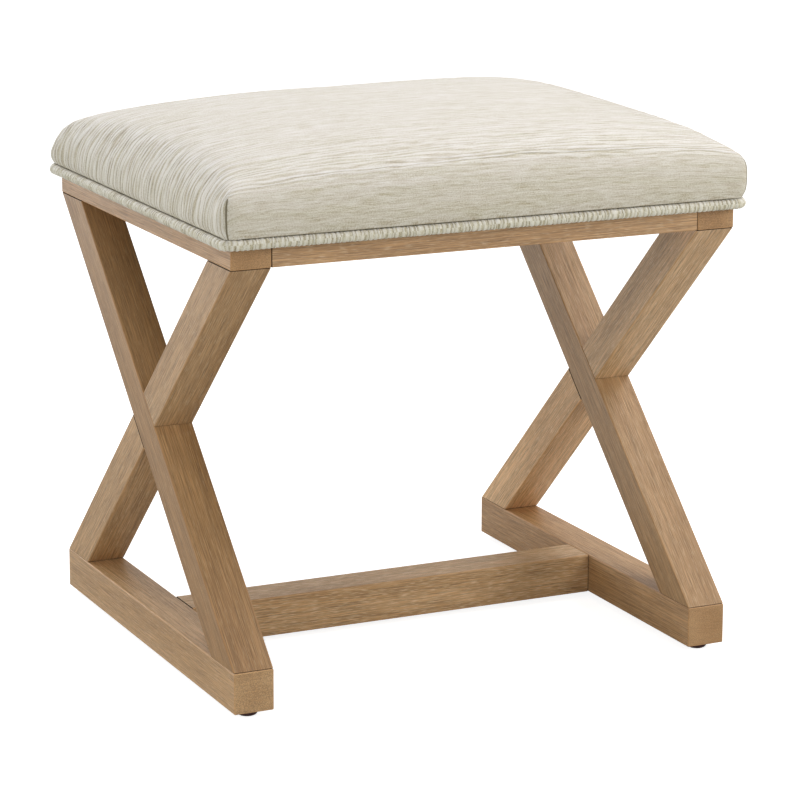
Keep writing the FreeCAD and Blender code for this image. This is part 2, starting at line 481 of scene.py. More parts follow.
BOARDS = {
    "left_runner": Board(1.7, 0.35, (1.25, 1.35, 1.50)),
    "left_side_rail": Board(2.6, 0.35, (0.99, 0.98, 0.95)),
    "left_long_leg": Board(3.4, 0.5, (0.79, 0.76, 0.69)),
    "left_upper_leg": Board(4.0, 0.5, (1.02, 1.07, 1.14)),
    "left_lower_leg": Board(4.8, 0.5, (1.10, 1.15, 1.20)),
    "right_runner": Board(5.3, 0.35, (1.03, 1.02, 1.01)),
    "right_side_rail": Board(6.2, 0.35, (1.03, 1.02, 1.01)),
    "right_long_leg": Board(7.0, 0.5, (0.94, 0.96, 0.98)),
    "right_upper_leg": Board(7.6, 0.5, (1.32, 1.45, 1.66)),
    "right_lower_leg": Board(8.4, 0.5, (1.54, 1.64, 1.80)),
    "stretcher": Board(8.4, 1.0, (1.22, 1.28, 1.36)),
    "front_apron": Board(9.9, 0.6, (1.22, 1.30, 1.50)),
    "back_apron": Board(11.6, 0.6, (1.0, 1.0, 1.0)),
}


@dataclass(frozen=True)
class OakFinish:
    """Wire-brushed oak stained grey-brown, its grain laid along one bar.

    The spots of each layer count along the bar, across it and through it. A
    ramp lists places in its layer with levels or colours.
    """

    slope: float
    pale: Colour = srgb(196, 158, 114)
    middle: Colour = srgb(173, 134, 90)
    deep: Colour = srgb(146, 108, 66)
    fleck: Colour = srgb(224, 196, 156)
    pore: Colour = srgb(104, 74, 44)
    worn: Colour = srgb(196, 146, 92)
    bar_shift_shares: Triple = (1.0, 0.37, 0.61)
    drift: Layer = Layer((2.2, 9, 9), 1.5)
    drift_reach: Triple = (0.0, 0.002, 0.009)
    figure: Layer = Layer((2.6, 26, 42), 1.5)
    ring: Layer = Layer((3.0, 70, 800))
    fibre: Layer = Layer((24, 1350, 1650), 1.0)
    pores: Layer = Layer((46, 1500, 1800), 1.0, 0.6, (3.1, 0.2, 0.4))
    rays: Layer = Layer((95, 1250, 1500), 1.0, 0.5, (7.7, 1.1, 0.9))
    figure_levels: Triple = (0.32, 0.50, 0.70)
    figure_share: float = 0.45
    ring_ramp: Stops = ((0.36, 0.40), (0.62, 0.59))
    ring_share: float = 0.28
    fibre_ramp: Stops = ((0.34, 0.27), (0.66, 0.71))
    fibre_share: float = 0.60
    pore_ramp: Stops = ((0.26, 0.62), (0.38, 0.0))
    ray_from: float = 0.58
    ray_from_fall: float = 0.06
    ray_full: float = 0.70
    ray_share: float = 0.62
    worn_share: float = 0.35
    gloss_ramp: Stops = ((0.3, 0.54), (0.7, 0.42))
    pore_height_ramp: Stops = ((0.22, 0.0), (0.42, 1.0))
    ring_bump: Bump = Bump(0.0005, 0.35)
    fibre_bump: Bump = Bump(0.0004, 0.45)
    pore_bump: Bump = Bump(0.0003, 0.5)

    def turn(self, lie: Lie) -> Triple:
        """The turn that brings a bar's length to X.

        Args:
            lie: How the bar lies.

        Returns:
            The turn about each axis.
        """
        quarter = math.pi / 2
        climb = math.atan2(1.0, self.slope)
        return {
            Lie.ACROSS: (0.0, 0.0, 0.0),
            Lie.FORE_AND_AFT: (0.0, 0.0, -quarter),
            Lie.LONG_LEG: (-climb, 0.0, -quarter),
            Lie.HALF_LEG: (climb - math.pi, 0.0, -quarter),
        }[lie]

    def along_bar(self, mix: Recipe, lie: Lie, rings: Rings, start: float) -> bpy.types.NodeSocket:
        """The place in the bar, with X along its length and its rings level.

        Args:
            mix: The material being mixed.
            lie: How the bar lies.
            rings: Which way its growth rings run.
            start: Where in the oak the bar was sawn from.

        Returns:
            The place's socket.
        """
        shift = tuple(start * share for share in self.bar_shift_shares)
        turned = mix.mapped(mix.object_place(), turn=self.turn(lie), shift=shift)
        return mix.mapped(turned, turn=(rings.value, 0.0, 0.0))

    def stained(
        self, mix: Recipe, layers: dict[str, bpy.types.NodeSocket], board: Board, worn: bool
    ) -> bpy.types.NodeSocket:
        """The oak's colour, tinted by its board, painted light included.

        Args:
            mix: The material being mixed.
            layers: The socket of each layer of the grain, by its name.
            board: The board that the bar was sawn from.
            worn: True for edges that are rubbed paler.

        Returns:
            The colour's socket.
        """
        colours = (self.deep, self.middle, self.pale)
        colour = mix.steps(layers["figure"], list(zip(self.figure_levels, colours)))
        colour = mix.blend(self.figure_share, self.middle, colour)
        colour = mix.overlay(self.ring_share, colour, mix.steps(layers["ring"], self.ring_ramp))
        colour = mix.overlay(self.fibre_share, colour, mix.steps(layers["fibre"], self.fibre_ramp))
        colour = mix.blend(mix.steps(layers["pores"], self.pore_ramp), colour, self.pore)
        ray_from = self.ray_from - self.ray_from_fall * board.flecks
        ray_ramp = [(ray_from, 0.0), (self.ray_full, self.ray_share * board.flecks)]
        colour = mix.blend(mix.steps(layers["rays"], ray_ramp), colour, self.fleck)
        if worn:
            colour = mix.blend(self.worn_share, colour, self.worn)
        # Painted light: the board's tint makes the bar paler or darker and lifts its blue for a painted
        # sheen, besides its own tone.
        if board.tint_with_painted_light != (1.0, 1.0, 1.0):
            colour = mix.blend(1.0, colour, (*board.tint_with_painted_light, 1.0), "MULTIPLY")
        return colour

    def material(self, name: str, lie: Lie, rings: Rings, board: Board, worn: bool) -> bpy.types.Material:
        """Oak for one bar.

        Args:
            name: The material's name.
            lie: How the bar lies.
            rings: Which way its growth rings run.
            board: The board that the bar was sawn from.
            worn: True for the eased edges, which are rubbed paler and warmer.

        Returns:
            The material.
        """
        mix = Recipe(name)
        along = self.along_bar(mix, lie, rings, board.start)
        swayed = mix.swayed(along, mix.speckle(along, self.drift), self.drift_reach)
        layers = {
            "figure": mix.speckle(swayed, self.figure),
            "ring": mix.speckle(swayed, self.ring),
            "fibre": mix.speckle(swayed, self.fibre),
            "pores": mix.speckle(along, self.pores),
            "rays": mix.speckle(along, self.rays),
        }
        mix.feed(mix.shader, "Base Color", self.stained(mix, layers, board, worn))
        mix.feed(mix.shader, "Roughness", mix.steps(layers["fibre"], self.gloss_ramp))
        coarse = mix.relief(layers["ring"], self.ring_bump)
        fine = mix.relief(layers["fibre"], self.fibre_bump, coarse)
        pore_height = mix.steps(layers["pores"], self.pore_height_ramp)
        mix.feed(mix.shader, "Normal", mix.relief(pore_height, self.pore_bump, fine))
        return mix.material


@dataclass(frozen=True)
class TwoTone:
    """A dull finish of two near colours in fine specks, for what lies deep in a joint, and for the painted
    shade deep in the cushion's seams.
    """

    name: str
    first: Colour
    second: Colour
    specks: Layer
    roughness: float

    def material(self) -> bpy.types.Material:
        """The material, on the object's own coordinates.

        Returns:
            The material.
        """
        mix = Recipe(self.name)
        specks = mix.speckle(mix.object_place(), self.specks)
        mix.feed(mix.shader, "Base Color", mix.blend(specks, self.first, self.second))
        mix.feed(mix.shader, "Roughness", self.roughness)
        return mix.material


JOINT_LINE = TwoTone("joint_line", srgb(66, 50, 34), srgb(40, 30, 20), Layer((500, 500, 500)), 0.9)
# Painted shade: a dark put in the cushion's corner seams and along the tuck above the welt.
SEAM_PAINTED_SHADE = TwoTone("seam_painted_shade", srgb(146, 138, 114), srgb(112, 104, 84), Layer((900, 900, 1500)), 0.95)


@dataclass(frozen=True)
class RibbedChenille:
    """Cream and sage chenille with slubs and crinkled ribs along the piece's cloth, with painted shade in
    its rib gaps and on its walls and painted highlight on its rib crests.

    The spots of each layer count along the ribs and across them, in the cloth's
    own map. On a crinkled piece the ribs are as strong as its attribute says. The
    wave texture runs through wave_radians for each unit of its scale.
    """

    rib_pitch: float
    rib_length: float
    crinkled: bool = False
    even_crinkle: float = 0.9
    cream: Colour = srgb(223, 217, 209)
    sage: Colour = srgb(210, 204, 188)
    taupe: Colour = srgb(194, 182, 162)
    groove_painted_shade: Colour = srgb(184, 176, 154)
    # Painted shade for the walls, which come out darker and more olive than the top.
    wall_painted_shade: Colour = (0.92, 0.915, 0.84, 1.0)
    full: Colour = (1.0, 1.0, 1.0, 1.0)
    wander: Layer = Layer((26, 26, 1), 1)
    wander_reach: Triple = (0.0, 0.0035, 0.0)
    wave_radians: float = 20.0
    wave_stretch: Triple = (0.16, 1.0, 1.0)
    wave_distortion: float = 9.0
    wave_detail: float = 2.0
    wave_detail_scale: float = 1.6
    wave_detail_rough: float = 0.55
    loose_spots_to_pitch: float = 2.2
    loose_share: float = 0.52
    hairs: Layer = Layer((60, 1150, 1), 1.0, 0.6, (6.0, 1.0, 0))
    slubs: Layer = Layer((45, 700, 1), 2, 0.6, (5.0, 2.0, 0))
    patches: Layer = Layer((12, 90, 1), 3, 0.6, (1.0, 7.0, 0))
    pile: Layer = Layer((750, 1250, 1), 1.0, 0.7, (2.0, 3.0, 0))
    picks: Layer = Layer((800, 300, 1), 1, 0.5, (4.0, 9.0, 0))
    patch_ramp: Stops = ((0.36, 0.0), (0.66, 0.80))
    slub_ramp: Stops = ((0.54, 0.0), (0.74, 0.40))
    gap_shade_ramp: Stops = ((0.25, 0.50), (0.42, 0.0))
    ridge_shade_and_highlight_ramp: Stops = ((0.28, 0.38), (0.50, 0.57), (0.70, 0.70))
    ridge_painted_light_share: float = 0.85
    ridge_painted_light_least: float = 0.05
    hair_ramp: Stops = ((0.32, 0.28), (0.68, 0.72))
    hair_share: float = 0.70
    pile_ramp: Stops = ((0.27, 0.26), (0.73, 0.74))
    pile_share: float = 0.80
    pick_ramp: Stops = ((0.3, 0.36), (0.7, 0.64))
    pick_share: float = 0.35
    wall_shade_levels: Span = (0.10, 0.85)
    roughness: float = 0.92
    specular: float = 0.2
    sheen: float = 0.30
    sheen_roughness: float = 0.4
    rib_depth: float = 0.0015
    slub_bump: Bump = Bump(0.0008, 0.5)
    pile_bump: Bump = Bump(0.0005, 0.45)

    def ribs(self, mix: Recipe, cloth: bpy.types.NodeSocket) -> bpy.types.NodeSocket:
        """The height of the ribs: waves that run into each other, and looser ones among them.

        Args:
            mix: The material being mixed.
            cloth: The place on the cloth.

        Returns:
            The height's socket.
        """
        spots = (1 / self.rib_length, self.loose_spots_to_pitch / self.rib_pitch, 1)
        loose = mix.speckle(cloth, Layer(spots))
        stretched = mix.node("VectorMath", operation="MULTIPLY")
        mix.feed(stretched, 0, cloth)
        mix.feed(stretched, 1, self.wave_stretch)
        wave = mix.node("TexWave", wave_type="BANDS", bands_direction="Y", wave_profile="SIN")
        mix.feed(wave, "Vector", stretched.outputs[0])
        mix.feed(wave, "Scale", math.tau / self.wave_radians / self.rib_pitch)
        mix.feed(wave, "Distortion", self.wave_distortion)
        mix.feed(wave, "Detail", self.wave_detail)
        mix.feed(wave, "Detail Scale", self.wave_detail_scale)
        mix.feed(wave, "Detail Roughness", self.wave_detail_rough)
        return mix.blend(self.loose_share, wave.outputs["Fac"], loose)

    def dyed(
        self, mix: Recipe, layers: dict[str, bpy.types.NodeSocket], crinkle: object
    ) -> bpy.types.NodeSocket:
        """The cloth's colour, yarn by yarn, with painted shade on the walls and in the rib gaps and painted
        highlight on the rib crests.

        Args:
            mix: The material being mixed.
            layers: The socket of each layer of the cloth, by its name.
            crinkle: How strong the ribs, their painted shade and their painted highlight are.

        Returns:
            The colour's socket.
        """
        colour = mix.blend(mix.steps(layers["patches"], self.patch_ramp), self.cream, self.sage)
        colour = mix.blend(mix.steps(layers["slubs"], self.slub_ramp), colour, self.taupe)
        # Painted shade: the gaps between ribs are mixed towards a darker, more olive colour.
        painted_gap_shade = mix.arithmetic("MULTIPLY", mix.steps(layers["ribs"], self.gap_shade_ramp), crinkle)
        colour = mix.blend(painted_gap_shade, colour, self.groove_painted_shade)
        # Painted shade and highlight: rib gaps are overlaid darker and rib crests paler.
        strong = mix.arithmetic("MULTIPLY", crinkle, self.ridge_painted_light_share)
        strong = mix.arithmetic("ADD", strong, self.ridge_painted_light_least)
        colour = mix.overlay(strong, colour, mix.steps(layers["ribs"], self.ridge_shade_and_highlight_ramp))
        colour = mix.overlay(self.hair_share, colour, mix.steps(layers["hairs"], self.hair_ramp))
        colour = mix.overlay(self.pile_share, colour, mix.steps(layers["pile"], self.pile_ramp))
        colour = mix.overlay(self.pick_share, colour, mix.steps(layers["picks"], self.pick_ramp))
        # Painted shade: faces that turn from up to sideways are multiplied darker and more olive, so the
        # walls come out darker than the top.
        upright = mix.node("SeparateXYZ")
        mix.feed(upright, 0, mix.node("NewGeometry").outputs["Normal"])
        wall_painted_shade = mix.steps(upright.outputs["Z"], list(zip(self.wall_shade_levels, (self.wall_painted_shade, self.full))))
        return mix.blend(1.0, colour, wall_painted_shade, "MULTIPLY")

    def material(self, name: str) -> bpy.types.Material:
        """The cloth.

        Args:
            name: The material's name.

        Returns:
            The material, which reads the piece's own cloth map in metres.
        """
        mix = Recipe(name)
        flat = mix.cloth_place()
        cloth = mix.swayed(flat, mix.speckle(flat, self.wander), self.wander_reach)
        crinkle = self.even_crinkle
        if self.crinkled:
            crinkle = mix.node("Attribute", attribute_name=CRINKLE).outputs["Fac"]
        layers = {
            "ribs": self.ribs(mix, cloth),
            "hairs": mix.speckle(cloth, self.hairs),
            "slubs": mix.speckle(cloth, self.slubs),
            "patches": mix.speckle(cloth, self.patches),
            "pile": mix.speckle(cloth, self.pile),
            "picks": mix.speckle(cloth, self.picks),
        }
        mix.feed(mix.shader, "Base Color", self.dyed(mix, layers, crinkle))
        mix.feed(mix.shader, "Roughness", self.roughness)
        mix.feed(mix.shader, "Specular IOR Level", self.specular)
        mix.feed(mix.shader, "Sheen Weight", self.sheen)
        mix.feed(mix.shader, "Sheen Roughness", self.sheen_roughness)
        coarse = mix.relief(layers["ribs"], Bump(self.rib_depth, crinkle))
        middle = mix.relief(layers["slubs"], self.slub_bump, coarse)
        mix.feed(mix.shader, "Normal", mix.relief(layers["pile"], self.pile_bump, middle))
        return mix.material


@dataclass(frozen=True)
class PlainFinish:
    """A finish of two near colours in specks, with a fine relief, for small or hidden pieces."""

    name: str
    light: Colour
    dark: Colour
    spots: Triple
    roughness: float
    metallic: float = 0.0
    depth: float = 0.0002
    strength: float = 0.5
    detail: float = 2.5
    rough: float = 0.6
    contrast: Span = (0.35, 0.65)

    def material(self) -> bpy.types.Material:
        """The material, on the object's own coordinates.

        Returns:
            The material.
        """
        mix = Recipe(self.name)
        specks = mix.speckle(mix.object_place(), Layer(self.spots, self.detail, self.rough))
        colour = mix.steps(specks, list(zip(self.contrast, (self.dark, self.light))))
        mix.feed(mix.shader, "Base Color", colour)
        mix.feed(mix.shader, "Roughness", self.roughness)
        mix.feed(mix.shader, "Metallic", self.metallic)
        mix.feed(mix.shader, "Normal", mix.relief(specks, Bump(self.depth, self.strength)))
        return mix.material


# Wooden frame


@dataclass(frozen=True)
class FrameSizes:
    """The wooden frame's sizes, as in the CAD source, and how its edges are eased."""

    width: float = 0.500
    depth: float = 0.435
    stock: float = 0.038
    runner_foot: float = 0.0065
    runner_height: float = 0.038
    leg_rise: float = 0.362
    rail_height: float = 0.019
    stretcher_width: float = 0.042
    leg_thickness: float = 0.038
    edge_ease: float = 0.0013
    end_ease_share: float = 0.8
    ease_segments: int = 3
    ease_profile: float = 0.6
    joint_ease: float = 0.0008
    screw_reach: float = 0.10875
    screw_radius: float = 0.0042
    countersink_sides: int = 32

    @property
    def runner_top(self) -> float:
        """The level the legs stand on."""
        return self.runner_foot + self.runner_height

    @property
    def rail_foot(self) -> float:
        """The level of the rails' underside."""
        return self.runner_top + self.leg_rise

    @property
    def side_middle(self) -> float:
        """How far the side frames' middle is from the stool's."""
        return self.width / 2 - self.stock / 2

    @property
    def slope(self) -> float:
        """How far a leg runs for its rise, with its ends flush with the runner's and the rail's.

        Returns:
            The run over the rise.
        """
        thick = self.leg_thickness
        root = math.sqrt(self.depth**2 + self.leg_rise**2 - thick**2)
        return (self.depth * self.leg_rise - thick * root) / (self.leg_rise**2 - thick**2)


class OakPart(Enum):
    """A bar's materials, by their place in its list."""

    FACE = 0
    EDGE = 1
    JOINT = 2


@dataclass
class Bar:
    """A planed bar of oak: its blank, its saw cuts, its joints and its grain."""

    node: str
    centre: Vector
    length: float
    section: Span
    lie: Lie
    rings: Rings
    jointed_ends: bool
    cuts: list[tuple[Vector, Vector]] = field(default_factory=list)
    straight_share: float = 0.99
    end_share: float = 0.3

    @property
    def name(self) -> str:
        """The name of the piece and of its materials."""
        return "oak_" + self.node

    def axis(self, sizes: FrameSizes) -> Vector:
        """The direction of the bar's length.

        Args:
            sizes: The frame's sizes.

        Returns:
            The direction, one metre long.
        """
        run = {
            Lie.ACROSS: Vector((1, 0, 0)),
            Lie.FORE_AND_AFT: Vector((0, 1, 0)),
            Lie.LONG_LEG: Vector((0, sizes.slope, 1)),
            Lie.HALF_LEG: Vector((0, -sizes.slope, 1)),
        }[self.lie]
        return run.normalized()

    def sawn(self, axis: Vector) -> bpy.types.Object:
        """The blank, turned the way it lies and cut where it ends.

        Args:
            axis: The direction of its length.

        Returns:
            The bar with sharp edges.
        """
        across, up = self.section
        if self.lie is Lie.ACROSS:
            bar = blank_box(self.name, self.centre, (self.length, across, up))
        else:
            turn = math.atan2(axis.z, axis.y)
            bar = blank_box(self.name, self.centre, (across, self.length, up), turn)
        for place, away in self.cuts:
            pick(bar, "faces", lambda face: True)
            bpy.ops.mesh.bisect(plane_co=place, plane_no=away, use_fill=True, clear_outer=True)
            leave_edit()
        return bar

    def tint_with_painted_light(self, bar: bpy.types.Object, sizes: FrameSizes, joint: bpy.types.Material) -> None:
        """Give the bar its oak, tinted by its board with painted light, in the order that OakPart lists.

        Args:
            bar: The sawn bar.
            sizes: The frame's sizes.
            joint: The dark that gathers in joints.
        """
        oak = OakFinish(sizes.slope)
        board = BOARDS[self.node]
        for suffix, worn in (("_faces", False), ("_edges", True)):
            finish = oak.material(self.name + suffix, self.lie, self.rings, board, worn)
            bar.data.materials.append(finish)
        bar.data.materials.append(joint)

    def build(self, sizes: FrameSizes, joint: bpy.types.Material) -> bpy.types.Object:
        """Saw, tint and ease the bar; the tint carries painted light.

        Args:
            sizes: The frame's sizes.
            joint: The dark that gathers in joints.

        Returns:
            The finished bar.
        """
        axis = self.axis(sizes)
        bar = self.sawn(axis)
        self.tint_with_painted_light(bar, sizes, joint)
        pick(bar, "edges", lambda edge: self.runs_along(edge, axis))
        bpy.ops.mesh.bevel(
            offset=sizes.edge_ease,
            segments=sizes.ease_segments,
            profile=sizes.ease_profile,
            affect="EDGES",
            material=OakPart.EDGE.value,
        )
        leave_edit()
        pick(bar, "edges", lambda edge: self.bounds_an_end(edge, axis))
        bpy.ops.mesh.bevel(
            offset=sizes.joint_ease if self.jointed_ends else sizes.edge_ease * sizes.end_ease_share,
            segments=1 if self.jointed_ends else sizes.ease_segments,
            profile=sizes.ease_profile,
            affect="EDGES",
            material=OakPart.JOINT.value if self.jointed_ends else OakPart.EDGE.value,
        )
        leave_edit()
        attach(bar, "root")
        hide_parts(self.node)
        return bar

    def runs_along(self, edge: bmesh.types.BMEdge, axis: Vector) -> bool:
        """Whether an edge runs along the bar."""
        run = (edge.verts[0].co - edge.verts[1].co).normalized()
        return abs(run.dot(axis)) > self.straight_share

    def bounds_an_end(self, edge: bmesh.types.BMEdge, axis: Vector) -> bool:
        """Whether an edge lies between an end of the bar and one of its sides."""
        ends = [abs(face.normal.dot(axis)) > self.end_share for face in edge.link_faces]
        return any(ends) and not all(ends)


@dataclass
class SideFrame:
    """One X-shaped side: a runner, a rail, one long leg and the two halves of the other."""

    side: int
    word: str
    sizes: FrameSizes = field(default_factory=FrameSizes)

    def level_bar(self, part: str, foot: float, height: float) -> Bar:
        """A runner or a rail, which runs fore and aft.

        Args:
            part: Its own part of its name.
            foot: The level of its underside.
            height: Its height.

        Returns:
            The bar, not yet built.
        """
        return Bar(
            node=f"{self.word}_{part}",
            centre=Vector((self.side * self.sizes.side_middle, 0, foot + height / 2)),
            length=self.sizes.depth,
            section=(self.sizes.stock, height),
            lie=Lie.FORE_AND_AFT,
            rings=Rings.LEVEL,
            jointed_ends=False,
        )

    def level_cuts(self) -> list[tuple[Vector, Vector]]:
        """The saw cuts level with the runner's top and with the rail's underside.

        Returns:
            For each cut, a point on it and the direction that is cut away.
        """
        return [
            (Vector((0, 0, self.sizes.runner_top)), Vector((0, 0, -1))),
            (Vector((0, 0, self.sizes.rail_foot)), Vector((0, 0, 1))),
        ]

    def leg(self, part: str, lie: Lie, cuts: list[tuple[Vector, Vector]]) -> Bar:
        """A leg through the crossing, cut where it ends.

        Args:
            part: The leg's own part of its name.
            lie: Which diagonal it is.
            cuts: The saw cuts.

        Returns:
            The bar, not yet built.
        """
        middle = self.sizes.runner_top + self.sizes.leg_rise / 2
        return Bar(
            node=f"{self.word}_{part}",
            centre=Vector((self.side * self.sizes.side_middle, 0, middle)),
            length=2 * math.hypot(self.sizes.depth, self.sizes.leg_rise),
            section=(self.sizes.stock, self.sizes.leg_thickness),
            lie=lie,
            rings=Rings.UPRIGHT,
            jointed_ends=True,
            cuts=cuts,
        )

    def build(self, joint: bpy.types.Material) -> list[bpy.types.Object]:
        """Build the side's five bars.

        Args:
            joint: The dark that gathers in joints.

        Returns:
            The bars.
        """
        sizes = self.sizes
        low, high = self.level_cuts()
        square = Vector((0, -1, sizes.slope)).normalized()
        middle = Vector((0, 0, sizes.runner_top + sizes.leg_rise / 2))
        above = (middle + square * sizes.leg_thickness / 2, -square)
        below = (middle - square * sizes.leg_thickness / 2, square)
        runner = self.level_bar("runner", sizes.runner_foot, sizes.runner_height)
        rail = self.level_bar("side_rail", sizes.rail_foot, sizes.rail_height)
        legs = [
            self.leg("long_leg", Lie.LONG_LEG, [low, high]),
            self.leg("upper_leg", Lie.HALF_LEG, [high, above]),
            self.leg("lower_leg", Lie.HALF_LEG, [low, below]),
        ]
        pieces = [bar.build(sizes, joint) for bar in (runner, rail, *legs)]
        self.countersink(pieces[1])
        for piece in pieces:
            flat_faces_stay_flat(piece)
            log.info("%s: %d faces", piece.name, len(piece.data.polygons))
        return pieces

    def countersink(self, rail: bpy.types.Object) -> None:
        """Sink the seat screws' heads into the rail's underside.

        Args:
            rail: The side rail.
        """
        sizes = self.sizes
        width = 2 * sizes.screw_radius
        for end in (-1, 1):
            clear_selection()
            bpy.ops.mesh.primitive_cone_add(
                vertices=sizes.countersink_sides,
                radius1=width,
                radius2=0.0,
                depth=width,
                location=(self.side * sizes.side_middle, end * sizes.screw_reach, sizes.rail_foot),
            )
            cutter = named("countersink")
            apply_modifier(rail, "BOOLEAN", object=cutter, operation="DIFFERENCE", solver="EXACT")
            bpy.data.objects.remove(cutter)


@dataclass
class CrossTies:
    """The stretcher between the runners, and the two aprons between the rails."""

    sizes: FrameSizes = field(default_factory=FrameSizes)

    def tie(self, node: str, y: float, z: float, section: Span) -> Bar:
        """A bar along X between the side frames.

        Args:
            node: The CAD node that it stands for.
            y: Where its middle lies from front to back.
            z: The level of its middle.
            section: Its width and height.

        Returns:
            The bar, not yet built.
        """
        return Bar(
            node=node,
            centre=Vector((0, y, z)),
            length=self.sizes.width - 2 * self.sizes.stock,
            section=section,
            lie=Lie.ACROSS,
            rings=Rings.LEVEL,
            jointed_ends=True,
        )

    def build(self, joint: bpy.types.Material) -> list[bpy.types.Object]:
        """Build the three ties.

        Args:
            joint: The dark that gathers in joints.

        Returns:
            The ties.
        """
        sizes = self.sizes
        reach = sizes.depth / 2 - sizes.stock / 2
        level = sizes.rail_foot + sizes.rail_height / 2
        flat = (sizes.stock, sizes.rail_height)
        foot = sizes.runner_foot + sizes.runner_height / 2
        ties = [
            self.tie("stretcher", 0, foot, (sizes.stretcher_width, sizes.runner_height)),
            self.tie("front_apron", -reach, level, flat),
            self.tie("back_apron", reach, level, flat),
        ]
        pieces = [tie.build(sizes, joint) for tie in ties]
        for piece in pieces:
            flat_faces_stay_flat(piece)
            log.info("%s: %d faces", piece.name, len(piece.data.polygons))
        return pieces


# Seat


@dataclass(frozen=True)
class Press:
    """The short cloth simulation that blows the cover up against its seams."""

    quality: int = 6
    mass: float = 0.35
    stretch_stiffness: float = 22
    shear_stiffness: float = 12
    bending_stiffness: float = 1.2
    pressure: float = 4.0
    frames: int = 20
    held_band: float = 0.006
    most_move: float = 0.004


@dataclass(frozen=True)
class Stuffing:
    """Where the back corners were stuffed fuller or flatter.

    The back right corner is fuller in two steps from the front, and the back left
    one is flatter and drawn in. Each span is in shares of the half width or depth,
    and from_foot is in metres.
    """

    from_foot: float = 0.004
    first_step: Span = (-1.0, -0.6)
    first_share: float = 0.38
    second_step: Span = (-0.3, 1.0)
    second_share: float = 0.62
    fuller_across: Span = (0.0, 1.0)
    flatter_deep: Span = (0.1, 1.0)
    flatter_across: Span = (0.2, 1.0)
    drawn_in: Span = (0.72, 1.0)


@dataclass(frozen=True)
class RibRelief:
    """The ribs raised in the cushion's mesh, with lengths in metres along the cloth.

    Levels are the values that noise is read at, so that the three noises differ.
    The spans say between which values a share climbs from 0 to 1.
    """

    height: float = 0.0011
    bend_spots: float = 18
    bend_level: float = 3.0
    bend_reach: float = 0.004
    rib_length: float = 0.080
    rib_pitch: float = 0.0050
    rib_level: float = 0.0
    rib_share: float = 0.8
    fold_length: float = 0.130
    fold_pitch: float = 0.0100
    fold_level: float = 5.0
    fold_share: float = 0.5
    foot_band: float = 0.001
    wall_band: float = 0.006
    turned: Span = (0.03, 0.22)
    front_or_back: Span = (0.55, 0.85)
    from_edge: Span = (0.01, 0.12)
    near_share: float = 0.55
    flat_share: float = 0.18
    turned_share: float = 0.82
    plain_wall_loss: float = 0.85
    crinkle: float = 0.95

    def height_at(self, u: float, v: float) -> float:
        """The height of the ribs and folds at a place on the cloth.

        Args:
            u: The place along the ribs.
            v: The place across them.

        Returns:
            The height in metres, which can be below 0.
        """
        bend = noise.noise(Vector((u * self.bend_spots, v * self.bend_spots, self.bend_level)))
        across = v + bend * self.bend_reach
        rib = noise.noise(Vector((u / self.rib_length, across / self.rib_pitch, self.rib_level)))
        fold = noise.noise(Vector((u / self.fold_length, across / self.fold_pitch, self.fold_level)))
        return self.height * (self.rib_share * rib + self.fold_share * fold)

    def share_at(self, normal: Vector, reach: float) -> float:
        """How strong the ribs are, by the way the cloth faces and how near an edge it is.

        Args:
            normal: The way the cloth faces.
            reach: How far the place is inside the cushion's outline.

        Returns:
            The share, from 0 to 1.
        """
        turned = smooth_step(*self.turned, 1 - abs(normal.z))
        plain_wall = smooth_step(*self.front_or_back, abs(normal.y))
        near = 1 - smooth_step(*self.from_edge, reach)
        strong = self.flat_share + self.turned_share * max(turned, self.near_share * near)
        return strong * (1 - self.plain_wall_loss * plain_wall)


class CoverPart(Enum):
    """The cushion's materials, by their place in its list."""

    CLOTH = 0
    THREAD = 1


